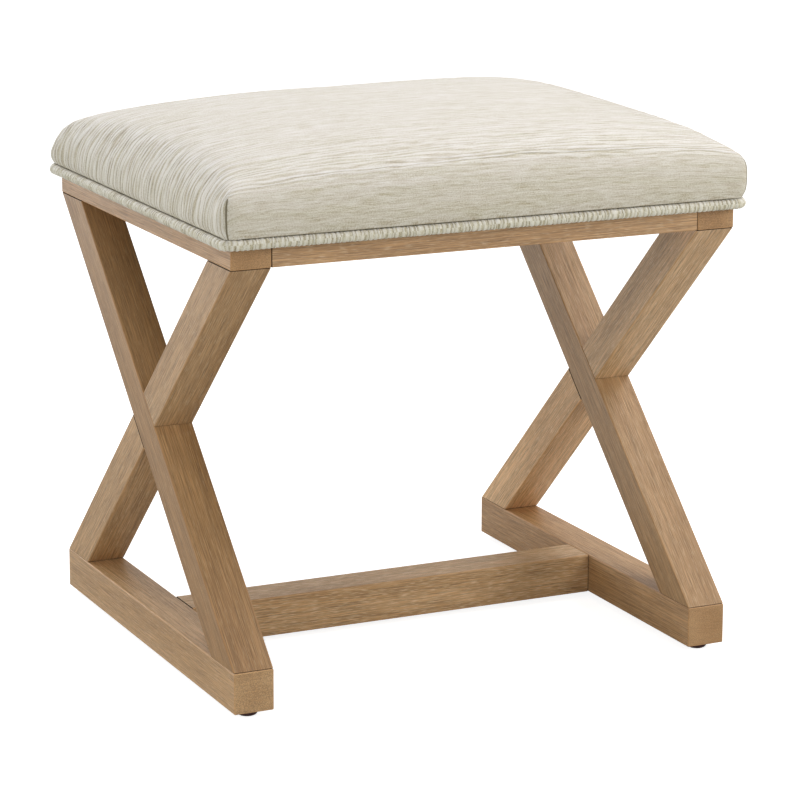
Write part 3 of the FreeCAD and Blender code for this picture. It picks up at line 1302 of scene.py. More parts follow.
@dataclass
class BoxCushion:
    """The seat's cover over its foam: walls over the welt, tight corners and a crown."""

    name: str = "seat_cushion"
    half_width: float = 0.2598
    half_depth: float = 0.2288
    foot: float = 0.4349
    edge_level: float = 0.4729
    crown: float = 0.0388
    crown_power: float = 0.40
    corner_round: float = 0.0105
    left_round: float = 0.038
    right_round: float = 0.023
    front_round: float = 0.024
    back_round: float = 0.030
    back_right_lift: float = 0.009
    back_left_drop: float = 0.003
    back_left_pull: float = 0.0075
    foot_roll: float = 0.0032
    swell: float = 0.0016
    round_power: int = 4
    cell: float = 0.0048
    weld: float = 0.0002
    dart_top: float = 0.479
    dart_spread: float = 0.012
    dart_reach: float = 0.0095
    dart_half_width: float = 0.0011
    dart_fade: float = 0.010
    seam_width: float = 0.0006
    seam_half_width: float = 0.0007
    seam_depth: float = 0.0016
    seam_from_foot: float = 0.001
    step_in: float = 0.0052
    step_down: float = 0.0086
    painted_shade_band: float = 0.0011
    foot_tolerance: float = 0.0001
    foot_slack: float = 1e-5
    downward: float = -0.9
    wall_cloth: float = 0.052
    wall_power: int = 16
    mitre_below: float = 0.008
    mitre_above: float = 0.006
    least_share: float = 1e-9
    top_edge_share: float = 0.90
    press: Press = field(default_factory=Press)
    stuffed: Stuffing = field(default_factory=Stuffing)
    rib_relief: RibRelief = field(default_factory=RibRelief)

    def crown_at(self, x: float, y: float) -> float:
        """How far the top stands above the corners' level.

        Args:
            x: The place from left to right.
            y: The place from front to back.

        Returns:
            The height in metres.
        """
        across = max(0.0, 1 - (x / self.half_width) ** 2)
        deep = max(0.0, 1 - (y / self.half_depth) ** 2)
        return self.crown * (across * deep) ** self.crown_power

    def blank(self) -> bpy.types.Object:
        """Six grids sewn into a closed box.

        Returns:
            The box, in even cells.
        """
        half_x, half_y, low, high = self.half_width, self.half_depth, self.foot, self.edge_level
        rise = high - low
        middle = (low + high) / 2
        quarter = math.pi / 2
        sides = [
            ((0, 0, high), (0, 0, 0), (2 * half_x, 2 * half_y)),
            ((0, 0, low), (2 * quarter, 0, 0), (2 * half_x, 2 * half_y)),
            ((0, -half_y, middle), (quarter, 0, 0), (2 * half_x, rise)),
            ((0, half_y, middle), (-quarter, 0, 0), (2 * half_x, rise)),
            ((-half_x, 0, middle), (quarter, 0, -quarter), (2 * half_y, rise)),
            ((half_x, 0, middle), (quarter, 0, quarter), (2 * half_y, rise)),
        ]
        grids = []
        for place, turn, (long, short) in sides:
            clear_selection()
            bpy.ops.mesh.primitive_grid_add(
                x_subdivisions=round(long / self.cell),
                y_subdivisions=round(short / self.cell),
                size=1,
                location=place,
                rotation=turn,
            )
            bpy.context.object.scale = (long, short, 1)
            grids.append(named("cushion_panel"))
        clear_selection()
        for grid in grids:
            grid.select_set(True)
        bpy.context.view_layer.objects.active = grids[0]
        bpy.ops.object.join()
        cushion = named(self.name)
        pick(cushion, "verts", lambda vertex: True)
        bpy.ops.mesh.remove_doubles(threshold=self.weld)
        bpy.ops.mesh.normals_make_consistent(inside=False)
        leave_edit()
        return cushion

    def tight_place(self, place: Vector) -> Vector:
        """Where a point of the box blank goes on the tight cushion.

        Args:
            place: A point on the box.

        Returns:
            The point on the cushion.
        """
        side_x = 1 if place.x > 0 else -1
        side_y = 1 if place.y > 0 else -1
        x, y = abs(place.x), abs(place.y)
        spread_x = (self.right_round if side_x > 0 else self.left_round) - self.corner_round
        spread_y = (self.back_round if side_y > 0 else self.front_round) - self.corner_round
        round_x = self.corner_round + spread_x * (1 - (y / self.half_depth) ** self.round_power)
        round_y = self.corner_round + spread_y * (1 - (x / self.half_width) ** self.round_power)
        out_x = max(x - (self.half_width - round_x), 0.0)
        out_y = max(y - (self.half_depth - round_y), 0.0)
        outside = out_x + out_y
        above_foot = place.z > self.foot + HAIR
        if outside < NOTHING:
            rise = self.crown_at(x, y) if above_foot else 0.0
            return place + Vector((0, 0, rise)) + self.stuffing(place)
        round_z = (out_x * round_x + out_y * round_y) / outside
        out_z = max(place.z - (self.edge_level - round_z), 0.0)
        lean = Vector((out_x / round_x, out_y / round_y, out_z / round_z)).normalized()
        x = min(x, self.half_width - round_x) + round_x * lean.x
        y = min(y, self.half_depth - round_y) + round_y * lean.y
        z = place.z if out_z == 0 else self.edge_level - round_z + round_z * lean.z
        up = place.z - self.foot
        roll = self.foot_roll
        tuck = roll - math.sqrt(max(roll**2 - (roll - up) ** 2, 0.0)) if up < roll else 0.0
        height = self.edge_level - self.foot
        push = self.swell * math.sin(math.pi * min(up / height, 1.0)) - tuck
        flat = Vector((lean.x, lean.y))
        if flat.length > HAIR and place.z < self.edge_level - HAIR:
            flat.normalize()
            x += push * flat.x
            y += push * flat.y
        elif not above_foot:
            x -= tuck * lean.x
            y -= tuck * lean.y
        formed = Vector((side_x * x, side_y * y, z))
        if above_foot:
            formed.z += self.crown_at(x, y)
        return formed + self.stuffing(place)

    def stuffing(self, place: Vector) -> Vector:
        """What the back corners gain or lose, as one was stuffed fuller than the other.

        Args:
            place: The point on the box blank.

        Returns:
            How the point moves.
        """
        stuffed = self.stuffed
        height = smooth_step(self.foot + stuffed.from_foot, self.edge_level, place.z)
        across, deep = place.x / self.half_width, place.y / self.half_depth
        first = stuffed.first_share * smooth_step(*stuffed.first_step, deep)
        second = stuffed.second_share * smooth_step(*stuffed.second_step, deep)
        fuller = (first + second) * smooth_step(*stuffed.fuller_across, across)
        flatter = smooth_step(*stuffed.flatter_deep, deep) * smooth_step(*stuffed.flatter_across, -across)
        drawn = smooth_step(*stuffed.drawn_in, deep)
        pull = self.back_left_pull * drawn * smooth_step(*stuffed.drawn_in, -across)
        rise = fuller * self.back_right_lift - flatter * self.back_left_drop
        return height * Vector((pull, -pull, rise))

    def build(self, cloth: bpy.types.Material, painted_seam_shade: bpy.types.Material) -> bpy.types.Object:
        """Form the cushion, let its cloth settle, sew its corners and map its cloth.

        Args:
            cloth: The cover's cloth.
            painted_seam_shade: Painted shade for the bottom of its seams.

        Returns:
            The finished cushion.
        """
        cushion = self.blank()
        cushion.data.materials.append(cloth)
        cushion.data.materials.append(painted_seam_shade)
        for vertex in cushion.data.vertices:
            vertex.co = self.tight_place(vertex.co)
        self.settle_cloth(cushion)
        pick(cushion, "faces", self.is_underside)
        bpy.ops.mesh.delete(type="FACE")
        leave_edit()
        self.sew_corners(cushion)
        apply_modifier(cushion, "SUBSURF", levels=1, render_levels=1)
        self.step_inside_welt(cushion)
        # Painted shade: the strip of wall just above the foot, where the cloth tucks in over the welt,
        # takes the seam's painted shade.
        for face in cushion.data.polygons:
            if face.center.z < self.foot + self.painted_shade_band:
                face.material_index = CoverPart.THREAD.value
        self.map_cloth(cushion)
        self.raise_ribs(cushion)
        only(cushion)
        bpy.ops.object.shade_smooth()
        return cushion

    def is_underside(self, face: bmesh.types.BMFace) -> bool:
        """Whether a face of the closed form faces down at the level of its foot."""
        low = face.calc_center_median().z < self.foot + self.foot_tolerance
        return low and face.normal.z < self.downward

    def settle_cloth(self, cushion: bpy.types.Object) -> None:
        """Blow the cover up against its seams for a moment, as the foam does.

        Args:
            cushion: The formed cushion.
        """
        press = self.press
        before = [vertex.co.copy() for vertex in cushion.data.vertices]
        held = cushion.vertex_groups.new(name="held")
        for vertex in cushion.data.vertices:
            at_foot = vertex.co.z < self.foot + press.held_band
            held.add([vertex.index], 1.0 if at_foot else self.corner_share(vertex.co), "REPLACE")
        only(cushion)
        cloth = cushion.modifiers.new("Cloth", "CLOTH")
        cloth.settings.quality = press.quality
        cloth.settings.mass = press.mass
        cloth.settings.tension_stiffness = press.stretch_stiffness
        cloth.settings.compression_stiffness = press.stretch_stiffness
        cloth.settings.shear_stiffness = press.shear_stiffness
        cloth.settings.bending_stiffness = press.bending_stiffness
        cloth.settings.use_pressure = True
        cloth.settings.uniform_pressure_force = press.pressure
        cloth.settings.vertex_group_mass = held.name
        cloth.settings.effector_weights.gravity = 0.0
        cloth.point_cache.frame_start = 1
        cloth.point_cache.frame_end = press.frames
        scene = bpy.context.scene
        for step in range(1, press.frames + 1):
            scene.frame_set(step)
        only(cushion)
        bpy.ops.object.modifier_apply(modifier=cloth.name)
        scene.frame_set(1)
        most = 0.0
        for vertex, start in zip(cushion.data.vertices, before):
            move = vertex.co - start
            most = max(most, move.length)
            if move.length > press.most_move:
                vertex.co = start + move * (press.most_move / move.length)
        cushion.vertex_groups.clear()
        cap = press.most_move * MILLIMETRES
        log.info("cushion cloth moved up to %.1f mm, capped at %.1f", most * MILLIMETRES, cap)

    def corner_share(self, place: Vector) -> float:
        """How near a point is to the dart of a corner.

        Args:
            place: The point.

        Returns:
            1 on the upright line at a corner, and 0 a little way from it or above the dart.
        """
        spread = self.dart_spread
        x = self.half_width - abs(place.x)
        y = self.half_depth - abs(place.y)
        near = 1 - smooth_step(0.0, spread, abs(x - y))
        outer = 1 - smooth_step(spread / 2, spread, min(x, y))
        return near * outer * (1 - smooth_step(self.dart_top - spread, self.dart_top, place.z))

    def step_inside_welt(self, cushion: bpy.types.Object) -> None:
        """Step the foot in, and take it down behind the welt to the rails.

        Args:
            cushion: The cushion.
        """
        pick(cushion, "edges", lambda edge: edge.is_boundary)
        bpy.ops.mesh.extrude_region_move(TRANSFORM_OT_translate={"value": (0, 0, 0)})
        narrow = (1 - self.step_in / self.half_width, 1 - self.step_in / self.half_depth, 0)
        bpy.ops.transform.resize(value=narrow, center_override=(0, 0, self.foot))
        bpy.ops.mesh.extrude_region_move(TRANSFORM_OT_translate={"value": (0, 0, -self.step_down)})
        bpy.ops.mesh.edge_face_add()
        leave_edit()

    def on_dart(self, edge: bmesh.types.BMEdge) -> bool:
        """Whether an edge is on the upright seam of a corner.

        Args:
            edge: The edge.

        Returns:
            True if both its ends are on the seam.
        """
        for vertex in edge.verts:
            x = self.half_width - abs(vertex.co.x)
            y = self.half_depth - abs(vertex.co.y)
            level = self.foot - self.foot_slack < vertex.co.z < self.dart_top
            if not level or abs(x - y) >= self.dart_half_width or x >= self.dart_reach:
                return False
        return True

    def sew_corners(self, cushion: bpy.types.Object) -> None:
        """Open a narrow channel down each corner and pull its middle in.

        Args:
            cushion: The cushion.
        """
        count = pick(cushion, "edges", self.on_dart)
        log.info("cushion darts: %d edges", count)
        if not count:
            leave_edit()
            return
        # The channel's faces take the painted seam shade.
        bpy.ops.mesh.bevel(
            offset=self.seam_width, segments=2, affect="EDGES", material=CoverPart.THREAD.value
        )
        mesh = bmesh.from_edit_mesh(cushion.data)
        for vertex in mesh.verts:
            if not vertex.select:
                continue
            x = self.half_width - abs(vertex.co.x)
            y = self.half_depth - abs(vertex.co.y)
            if abs(x - y) < self.seam_half_width and vertex.co.z > self.foot + self.seam_from_foot:
                ease = 1 - smooth_step(self.dart_top - self.dart_fade, self.dart_top, vertex.co.z)
                inward = Vector((-vertex.co.x, -vertex.co.y, 0)).normalized()
                vertex.co += inward * self.seam_depth * ease
        bmesh.update_edit_mesh(cushion.data)
        leave_edit()

    def flat_place(self, place: Vector, front: bool) -> Span:
        """Where a point of the cushion lies on the flat cloth.

        The ribs run along U. The cloth runs over the top and down the front and
        back, and the same ribs go on down the left and right walls.

        Args:
            place: A point on the cushion.
            front: Whether the face it belongs to is nearer the front or back than the sides.

        Returns:
            Its U and V, in metres.
        """
        x, y = abs(place.x), abs(place.y)
        share_x = (x / self.half_width) ** self.wall_power
        share_y = (y / self.half_depth) ** self.wall_power
        soft = share_x / (share_x + share_y + self.least_share)
        hard = 0.0 if front else 1.0
        above = smooth_step(self.dart_top - self.mitre_below, self.dart_top + self.mitre_above, place.z)
        along = hard + (soft - hard) * above
        top_x = self.edge_level + self.crown_at(self.top_edge_share * self.half_width, y)
        top_y = self.edge_level + self.crown_at(x, self.top_edge_share * self.half_depth)
        down_x = 1 - min((place.z - self.foot) / (top_x - self.foot), 1.0)
        down_y = 1 - min((place.z - self.foot) / (top_y - self.foot), 1.0)
        u = math.copysign(x + along * down_x * self.wall_cloth, place.x)
        v = math.copysign(y + (1 - along) * down_y * self.wall_cloth, place.y)
        return u, v

    def map_cloth(self, cushion: bpy.types.Object) -> None:
        """Lay the cloth's own map over the cushion.

        Args:
            cushion: The cushion.
        """
        mesh = cushion.data
        while mesh.uv_layers:
            mesh.uv_layers.remove(mesh.uv_layers[0])
        layer = mesh.uv_layers.new(name=CLOTH_MAP)
        for face in mesh.polygons:
            centre = face.center
            front = (self.half_depth - abs(centre.y)) < (self.half_width - abs(centre.x))
            for loop in face.loop_indices:
                place = mesh.vertices[mesh.loops[loop].vertex_index].co
                layer.data[loop].uv = self.flat_place(place, front)

    def raise_ribs(self, cushion: bpy.types.Object) -> None:
        """Crinkle the cloth in soft ribs, highest where it turns over the edges.

        Args:
            cushion: The mapped cushion.
        """
        relief = self.rib_relief
        mesh = cushion.data
        layer = mesh.uv_layers[CLOTH_MAP]
        places: dict[int, Span] = {}
        for loop in mesh.loops:
            places.setdefault(loop.vertex_index, tuple(layer.data[loop.index].uv))
        normals = [vertex.normal.copy() for vertex in mesh.vertices]
        crinkle = mesh.attributes.new(CRINKLE, "FLOAT", "POINT")
        for vertex, normal in zip(mesh.vertices, normals):
            if vertex.co.z < self.foot + relief.foot_band or vertex.index not in places:
                continue
            reach = min(self.half_width - abs(vertex.co.x), self.half_depth - abs(vertex.co.y))
            share = relief.share_at(normal, reach)
            # The crinkle attribute also sets how strong the cloth's painted rib shade and highlight are.
            crinkle.data[vertex.index].value = relief.crinkle * share
            wall = smooth_step(self.foot, self.foot + relief.wall_band, vertex.co.z)
            seam = 1 - self.corner_share(vertex.co)
            vertex.co += normal * relief.height_at(*places[vertex.index]) * share * wall * seam


@dataclass
class Welt:
    """The covered cord round the foot of the seat, with its cloth's ribs running round it.

    The hand's waver and the plumpness change along the cord, with their spots in a
    metre of it, and their levels keep the two noises apart. The ribs' drift turns
    by its rate, in radians, in a metre.
    """

    radius: float = 0.00475
    level: float = 0.42985
    half_width: float = 0.2575
    half_depth: float = 0.2245
    bend: float = 0.01025
    sides: int = 18
    bend_steps: int = 14
    step: float = 0.0012
    waver: float = 0.00018
    waver_spots: float = 60
    waver_level: float = 0.5
    plump: float = 0.035
    plump_spots: float = 45
    plump_level: float = 3.5
    rib_height: float = 0.060
    rib_pitch: float = 0.0048
    rib_drift: float = 1.2
    rib_drift_rate: float = 55
    rib_lean: float = 0.6

    def path(self) -> list[tuple[Vector, Vector, float]]:
        """Points round the welt's middle line, each with its outward direction and its run.

        Returns:
            The points of one closed round, in order.
        """
        half_x, half_y, bend = self.half_width, self.half_depth, self.bend
        places: list[tuple[Vector, Vector]] = []
        corners = [(1, 1, 0.0), (-1, 1, 90.0), (-1, -1, 180.0), (1, -1, 270.0)]
        for index, (side_x, side_y, start) in enumerate(corners):
            centre = Vector((side_x * (half_x - bend), side_y * (half_y - bend), self.level))
            for step in range(self.bend_steps + 1):
                angle = math.radians(start + 90 * step / self.bend_steps)
                out = Vector((math.cos(angle), math.sin(angle), 0))
                places.append((centre + bend * out, out))
            along = 2 * ((half_x if index % 2 == 0 else half_y) - bend)
            last, out = places[-1]
            run = Vector((-out.y, out.x, 0))
            pieces = round(along / self.step)
            places += [(last + run * along * part / pieces, out.copy()) for part in range(1, pieces)]
        path, travelled = [], 0.0
        for index, (place, out) in enumerate(places):
            if index:
                travelled += (place - places[index - 1][0]).length
            path.append((place, out, travelled))
        return path

    def scale_at(self, run: float, around: float) -> float:
        """How thick the cord is at a place, as a share of its own radius.

        Args:
            run: The place along the cord.
            around: The angle round it.

        Returns:
            The share, about 1.
        """
        plump = 1 + self.plump * noise.noise(Vector((run * self.plump_spots, self.plump_level, 0)))
        drift = self.rib_drift * math.sin(run * self.rib_drift_rate)
        turn = math.tau * run / self.rib_pitch + drift + self.rib_lean * around
        return plump * (1 + self.rib_height * math.sin(turn))

    def build(self) -> bpy.types.Object:
        """Lay the ribbed cord round its closed path and map its cloth.

        Returns:
            The welt, with no material yet.
        """
        clear_selection()
        bpy.ops.mesh.primitive_circle_add(vertices=self.sides, radius=self.radius, location=(0, 0, 0))
        ring = named("seat_welt")
        section = [vertex.co.copy() for vertex in ring.data.vertices]
        angles = [math.atan2(point.y, point.x) for point in section]
        path = self.path()
        total = path[-1][2] + (path[0][0] - path[-1][0]).length
        mesh = bmesh.new()
        layer = mesh.loops.layers.uv.new(CLOTH_MAP)
        rows = []
        for place, out, run in path:
            hand = self.waver * noise.noise(Vector((run * self.waver_spots, self.waver_level, 0)))
            row = []
            for point, around in zip(section, angles):
                scale = self.scale_at(run, around)
                side = out * point.x * scale
                lift = Vector((0, 0, point.y * scale + hand))
                row.append(mesh.verts.new(place + side + lift))
            rows.append(row)
        runs = [run for _, _, run in path] + [total]
        count = len(section)
        for index, row in enumerate(rows):
            following = rows[(index + 1) % len(rows)]
            for slot in range(count):
                after = (slot + 1) % count
                face = mesh.faces.new((row[slot], row[after], following[after], following[slot]))
                face.smooth = True
                low = angles[slot] % math.tau
                high = low + math.tau / count
                start, end = runs[index], runs[index + 1]
                places = ((start, low), (start, high), (end, high), (end, low))
                for loop, (run, turn) in zip(face.loops, places):
                    loop[layer].uv = (turn * self.radius, run)
        bmesh.ops.recalc_face_normals(mesh, faces=mesh.faces)
        mesh.to_mesh(ring.data)
        mesh.free()
        return ring


@dataclass
class Lining:
    """The dust cloth under the board, drawn tight and a little slack in its middle."""

    half_width: float = 0.225
    half_depth: float = 0.1925
    level: float = 0.4259
    thickness: float = 0.0006
    cells_across: int = 60
    cells_deep: int = 52
    slack_half_width: float = 0.212
    slack_half_depth: float = 0.1795
    slack_edge_power: int = 4
    slack_power: float = 0.8
    slack: float = 0.0026
    ripple: float = 0.0008
    ripple_spots: float = 14
    ripple_level: float = 1.0
    smooth_below: float = 40

    def build(self) -> bpy.types.Object:
        """Stretch the cloth and let its middle hang.

        Returns:
            The dust cloth, with no material yet.
        """
        clear_selection()
        bpy.ops.mesh.primitive_grid_add(
            x_subdivisions=self.cells_across,
            y_subdivisions=self.cells_deep,
            size=1,
            location=(0, 0, self.level),
        )
        bpy.context.object.scale = (2 * self.half_width, 2 * self.half_depth, 1)
        sheet = named("dust_cloth")
        for vertex in sheet.data.vertices:
            x = abs(vertex.co.x) / self.slack_half_width
            y = abs(vertex.co.y) / self.slack_half_depth
            if x < 1 and y < 1:
                across, deep = 1 - x**self.slack_edge_power, 1 - y**self.slack_edge_power
                slack = (across * deep) ** self.slack_power
                spot = vertex.co * self.ripple_spots
                ripple = noise.noise(Vector((spot.x, spot.y, self.ripple_level)))
                vertex.co.z -= slack * (self.slack + self.ripple * ripple)
        apply_modifier(sheet, "SOLIDIFY", thickness=self.thickness, offset=0.0)
        only(sheet)
        bpy.ops.object.shade_smooth_by_angle(angle=math.radians(self.smooth_below))
        return sheet


CUSHION_CLOTH = RibbedChenille(rib_pitch=0.0066, rib_length=0.045, crinkled=True)
WELT_CLOTH = RibbedChenille(
    rib_pitch=0.0044,
    rib_length=0.02,
    cream=srgb(233, 228, 215),
    sage=srgb(218, 213, 196),
    taupe=srgb(204, 196, 176),
    groove_painted_shade=srgb(176, 168, 146),
)
FOAM_CELLS = PlainFinish(
    "foam_cells", srgb(240, 234, 212), srgb(214, 205, 176), (900, 900, 900), 0.95, depth=0.0006
)
DUST_WEAVE = PlainFinish(
    "dust_cloth", srgb(52, 52, 52), srgb(30, 30, 31), (1300, 1300, 1300), 0.85, depth=0.0003
)
FOAM_FORM = BoxCushion(
    name="foam_core",
    half_width=0.2590,
    half_depth=0.2265,
    foot=0.4396,
    edge_level=0.4702,
    crown=0.0370,
    foot_roll=0.0005,
    swell=0.0006,
    cell=0.0092,
)


@dataclass
class Seat:
    """What sits on the frame: cushion, foam, welt and the cloth under the board."""

    lining_form: Lining = field(default_factory=Lining)

    def cushion(self) -> bpy.types.Object:
        """The covered cushion.

        Returns:
            The cushion.
        """
        piece = BoxCushion().build(CUSHION_CLOTH.material("chenille"), SEAM_PAINTED_SHADE.material())
        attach(piece, "root")
        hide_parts("seat_cover")
        log.info("%s: %d faces", piece.name, len(piece.data.polygons))
        return piece

    def foam(self) -> bpy.types.Object:
        """The foam inside the cover, in the same form with no cloth on it.

        Returns:
            The foam.
        """
        piece = FOAM_FORM.blank()
        for vertex in piece.data.vertices:
            vertex.co = FOAM_FORM.tight_place(vertex.co)
        only(piece)
        bpy.ops.object.shade_smooth()
        piece.data.materials.append(FOAM_CELLS.material())
        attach(piece, "root")
        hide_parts("foam_pad")
        log.info("%s: %d faces", piece.name, len(piece.data.polygons))
        return piece

    def welt(self) -> bpy.types.Object:
        """The covered cord round the foot of the seat.

        Returns:
            The welt.
        """
        ring = Welt().build()
        ring.data.materials.append(WELT_CLOTH.material("welt_chenille"))
        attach(ring, "root")
        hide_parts("welt")
        log.info("%s: %d faces", ring.name, len(ring.data.polygons))
        return ring

    def lining(self) -> bpy.types.Object:
        """The dust cloth under the board.

        Returns:
            The dust cloth.
        """
        sheet = self.lining_form.build()
        sheet.data.materials.append(DUST_WEAVE.material())
        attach(sheet, "root")
        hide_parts("dust_cover")
        log.info("%s: %d faces", sheet.name, len(sheet.data.polygons))
        return sheet

    def build(self) -> None:
        """Build the seat's pieces."""
        self.cushion()
        self.foam()
        self.welt()
        self.lining()


# Small parts


@dataclass(frozen=True)
class GlidePattern:
    """A domed plastic glide with a recessed middle."""

    radius: float = 0.010
    height: float = 0.0065
    sides: int = 48
    dome: float = 0.0046
    dome_segments: int = 7
    dome_profile: float = 0.55
    rim_ease: float = 0.0005
    rim_segments: int = 2
    recess_inset: float = 0.0022
    recess_depth: float = 0.0005
    tolerance: float = 1e-5
    downward: float = -0.99
    fewest_corners: int = 20
    smooth_below: float = 35

    def build(self) -> bpy.types.Object:
        """Turn the glide.

        Returns:
            The glide in the middle of the floor, with no material yet.
        """
        clear_selection()
        bpy.ops.mesh.primitive_cylinder_add(
            vertices=self.sides, radius=self.radius, depth=self.height, location=(0, 0, self.height / 2)
        )
        dome = named("glide_pattern")
        pick(dome, "edges", lambda edge: all(end.co.z < self.tolerance for end in edge.verts))
        bpy.ops.mesh.bevel(
            offset=self.dome, segments=self.dome_segments, profile=self.dome_profile, affect="EDGES"
        )
        leave_edit()
        top = self.height - self.tolerance
        pick(dome, "edges", lambda edge: all(end.co.z > top for end in edge.verts))
        bpy.ops.mesh.bevel(offset=self.rim_ease, segments=self.rim_segments, affect="EDGES")
        leave_edit()
        pick(dome, "faces", self.is_sole)
        bpy.ops.mesh.inset(thickness=self.recess_inset)
        bpy.ops.mesh.extrude_region_move(TRANSFORM_OT_translate={"value": (0, 0, self.recess_depth)})
        leave_edit()
        only(dome)
        bpy.ops.object.shade_smooth_by_angle(angle=math.radians(self.smooth_below))
        return dome

    def is_sole(self, face: bmesh.types.BMFace) -> bool:
        """Whether a face is the flat round sole."""
        return face.normal.z < self.downward and len(face.verts) > self.fewest_corners


@dataclass(frozen=True)
class ScrewPattern:
    """A countersunk screw with a six-sided socket, its head down."""

    head: float = 0.004
    shank: float = 0.002
    rise: float = 0.0282
    sides: int = 32
    socket_sides: int = 6
    tip_share: float = 0.15
    tip_rise: float = 0.004
    head_and_tip: float = 0.006
    socket_radius: float = 0.0016
    socket_height: float = 0.003
    smooth_below: float = 30

    def build(self, level: float) -> bpy.types.Object:
        """Turn the screw and sink its socket.

        Args:
            level: The level of its head's face.

        Returns:
            The screw under the middle of the seat, with no material yet.
        """
        clear_selection()
        bpy.ops.mesh.primitive_circle_add(
            vertices=self.sides, radius=self.head, fill_type="NGON", location=(0, 0, level)
        )
        screw = named("screw_pattern")
        moves = [
            (self.head - self.shank, self.shank / self.head),
            (self.rise - self.head_and_tip, 1.0),
            (self.tip_rise, self.tip_share),
        ]
        pick(screw, "faces", lambda face: True)
        for rise, scale in moves:
            bpy.ops.mesh.extrude_region_move(TRANSFORM_OT_translate={"value": (0, 0, rise)})
            bpy.ops.transform.resize(value=(scale, scale, 1))
        leave_edit()
        pick(screw, "faces", lambda face: True)
        bpy.ops.mesh.normals_make_consistent(inside=False)
        leave_edit()
        clear_selection()
        bpy.ops.mesh.primitive_cylinder_add(
            vertices=self.socket_sides,
            radius=self.socket_radius,
            depth=self.socket_height,
            location=(0, 0, level),
        )
        socket = named("socket")
        apply_modifier(screw, "BOOLEAN", object=socket, operation="DIFFERENCE", solver="EXACT")
        bpy.data.objects.remove(socket)
        only(screw)
        bpy.ops.object.shade_smooth_by_angle(angle=math.radians(self.smooth_below))
        return screw


GLIDE_PLASTIC = PlainFinish(
    "glide_plastic", srgb(92, 58, 56), srgb(66, 40, 40), (700, 700, 700), 0.38, depth=0.00008
)
BEECH = PlainFinish("beech_dowel", srgb(222, 190, 150), srgb(196, 160, 118), (160, 900, 900), 0.6)
BIRCH_PLY = PlainFinish("birch_plywood", srgb(222, 198, 160), srgb(176, 144, 104), (30, 30, 750), 0.65)
ZINC = PlainFinish(
    "zinc_plate", srgb(196, 196, 190), srgb(150, 150, 146), (1500, 1500, 1500), 0.36, 1.0, 0.00005
)


@dataclass
class Fittings:
    """Glides, seat screws, and the fittings that are let into the wood."""

    sizes: FrameSizes = field(default_factory=FrameSizes)
    glide_setback: float = 0.017

    def corners(self, reach: float) -> list[tuple[str, float, float]]:
        """A place on each side frame to the front and to the back.

        Args:
            reach: How far the places are from the stool's middle line.

        Returns:
            The name, X and Y of each of the four.
        """
        across = self.sizes.side_middle
        sides = [("left", -across), ("right", across)]
        ends = [("front", -reach), ("back", reach)]
        return [(f"{side}_{end}", x, y) for side, x in sides for end, y in ends]

    def glides(self) -> list[bpy.types.Object]:
        """The four domed glides, modelled once and copied.

        Returns:
            The glides.
        """
        dome = GlidePattern().build()
        dome.data.materials.append(GLIDE_PLASTIC.material())
        pieces = []
        for name, x, y in self.corners(self.sizes.depth / 2 - self.glide_setback):
            glide = copy_of(dome, f"glide_{name}", (x, y, 0))
            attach(glide, "root")
            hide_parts("glides")
            pieces.append(glide)
        bpy.data.objects.remove(dome)
        log.info("glides: %d", len(pieces))
        return pieces

    def screws(self, zinc: bpy.types.Material) -> list[bpy.types.Object]:
        """The four countersunk seat screws, modelled once and copied.

        Args:
            zinc: The plated steel.

        Returns:
            The screws.
        """
        screw = ScrewPattern().build(self.sizes.rail_foot)
        screw.data.materials.append(zinc)
        pieces = []
        for name, x, y in self.corners(self.sizes.screw_reach):
            piece = copy_of(screw, f"seat_screw_{name}", (x, y, 0))
            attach(piece, "root")
            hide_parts("seat_screws")
            pieces.append(piece)
        bpy.data.objects.remove(screw)
        log.info("seat screws: %d", len(pieces))
        return pieces

    def dress_hidden(self, zinc: bpy.types.Material) -> None:
        """Give the CAD nodes that stay their own finishes.

        Args:
            zinc: The plated steel.
        """
        beech, ply = BEECH.material(), BIRCH_PLY.material()
        finishes = {
            "foot_dowels": beech,
            "head_dowels": beech,
            "apron_dowels": beech,
            "crossing_dowels": beech,
            "stretcher_dowels": beech,
            "seat_board": ply,
            "glide_nails": zinc,
        }
        for node, finish in finishes.items():
            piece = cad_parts[node]
            for slot in piece.material_slots:
                slot.material = finish
            log.info("%s: dressed in %s", node, finish.name)

    def build(self) -> None:
        """Build the fittings and dress the hidden ones."""
        zinc = ZINC.material()
        self.glides()
        self.screws(zinc)
        self.dress_hidden(zinc)


# Studio


@dataclass(frozen=True)
class Lamp:
    """One large soft lamp: its place and aim, the side of its square, its power and its tint."""

    name: str
    place: Triple
    aim: Triple
    size: float
    power: float
    tint: Triple

    def hang(self) -> None:
        """Hang the lamp where the camera can't see it."""
        data = bpy.data.lights.new(self.name, "AREA")
        data.shape = "SQUARE"
        data.size = self.size
        data.energy = self.power
        data.color = self.tint
        lamp = bpy.data.objects.new(self.name, data)
        bpy.context.scene.collection.objects.link(lamp)
        lamp.location = self.place
        lamp.visible_camera = False
        lamp.rotation_euler = (Vector(self.aim) - Vector(self.place)).to_track_quat("-Z", "Y").to_euler()


LAMPS = (
    Lamp("overhead", (-0.4, 0.9, 2.9), (0, 0, 0.45), 2.0, 30.5, (0.97, 0.975, 1.0)),
    Lamp("upper_right", (1.4, -0.4, 2.4), (0, 0, 0.3), 1.2, 21, (0.98, 0.98, 1.0)),
    Lamp("left_side", (-1.40, -0.75, 0.60), (-0.2, 0, 0.20), 0.9, 4.9, (0.97, 0.98, 1.0)),
    Lamp("back_left", (-1.4, 2.4, 0.55), (0, 0, 0.25), 1.0, 15, (0.94, 0.97, 1.0)),
    Lamp("right_front", (1.3, -1.5, 1.05), (0.1, 0, 0.3), 0.8, 12.5, (1.0, 0.98, 0.95)),
)


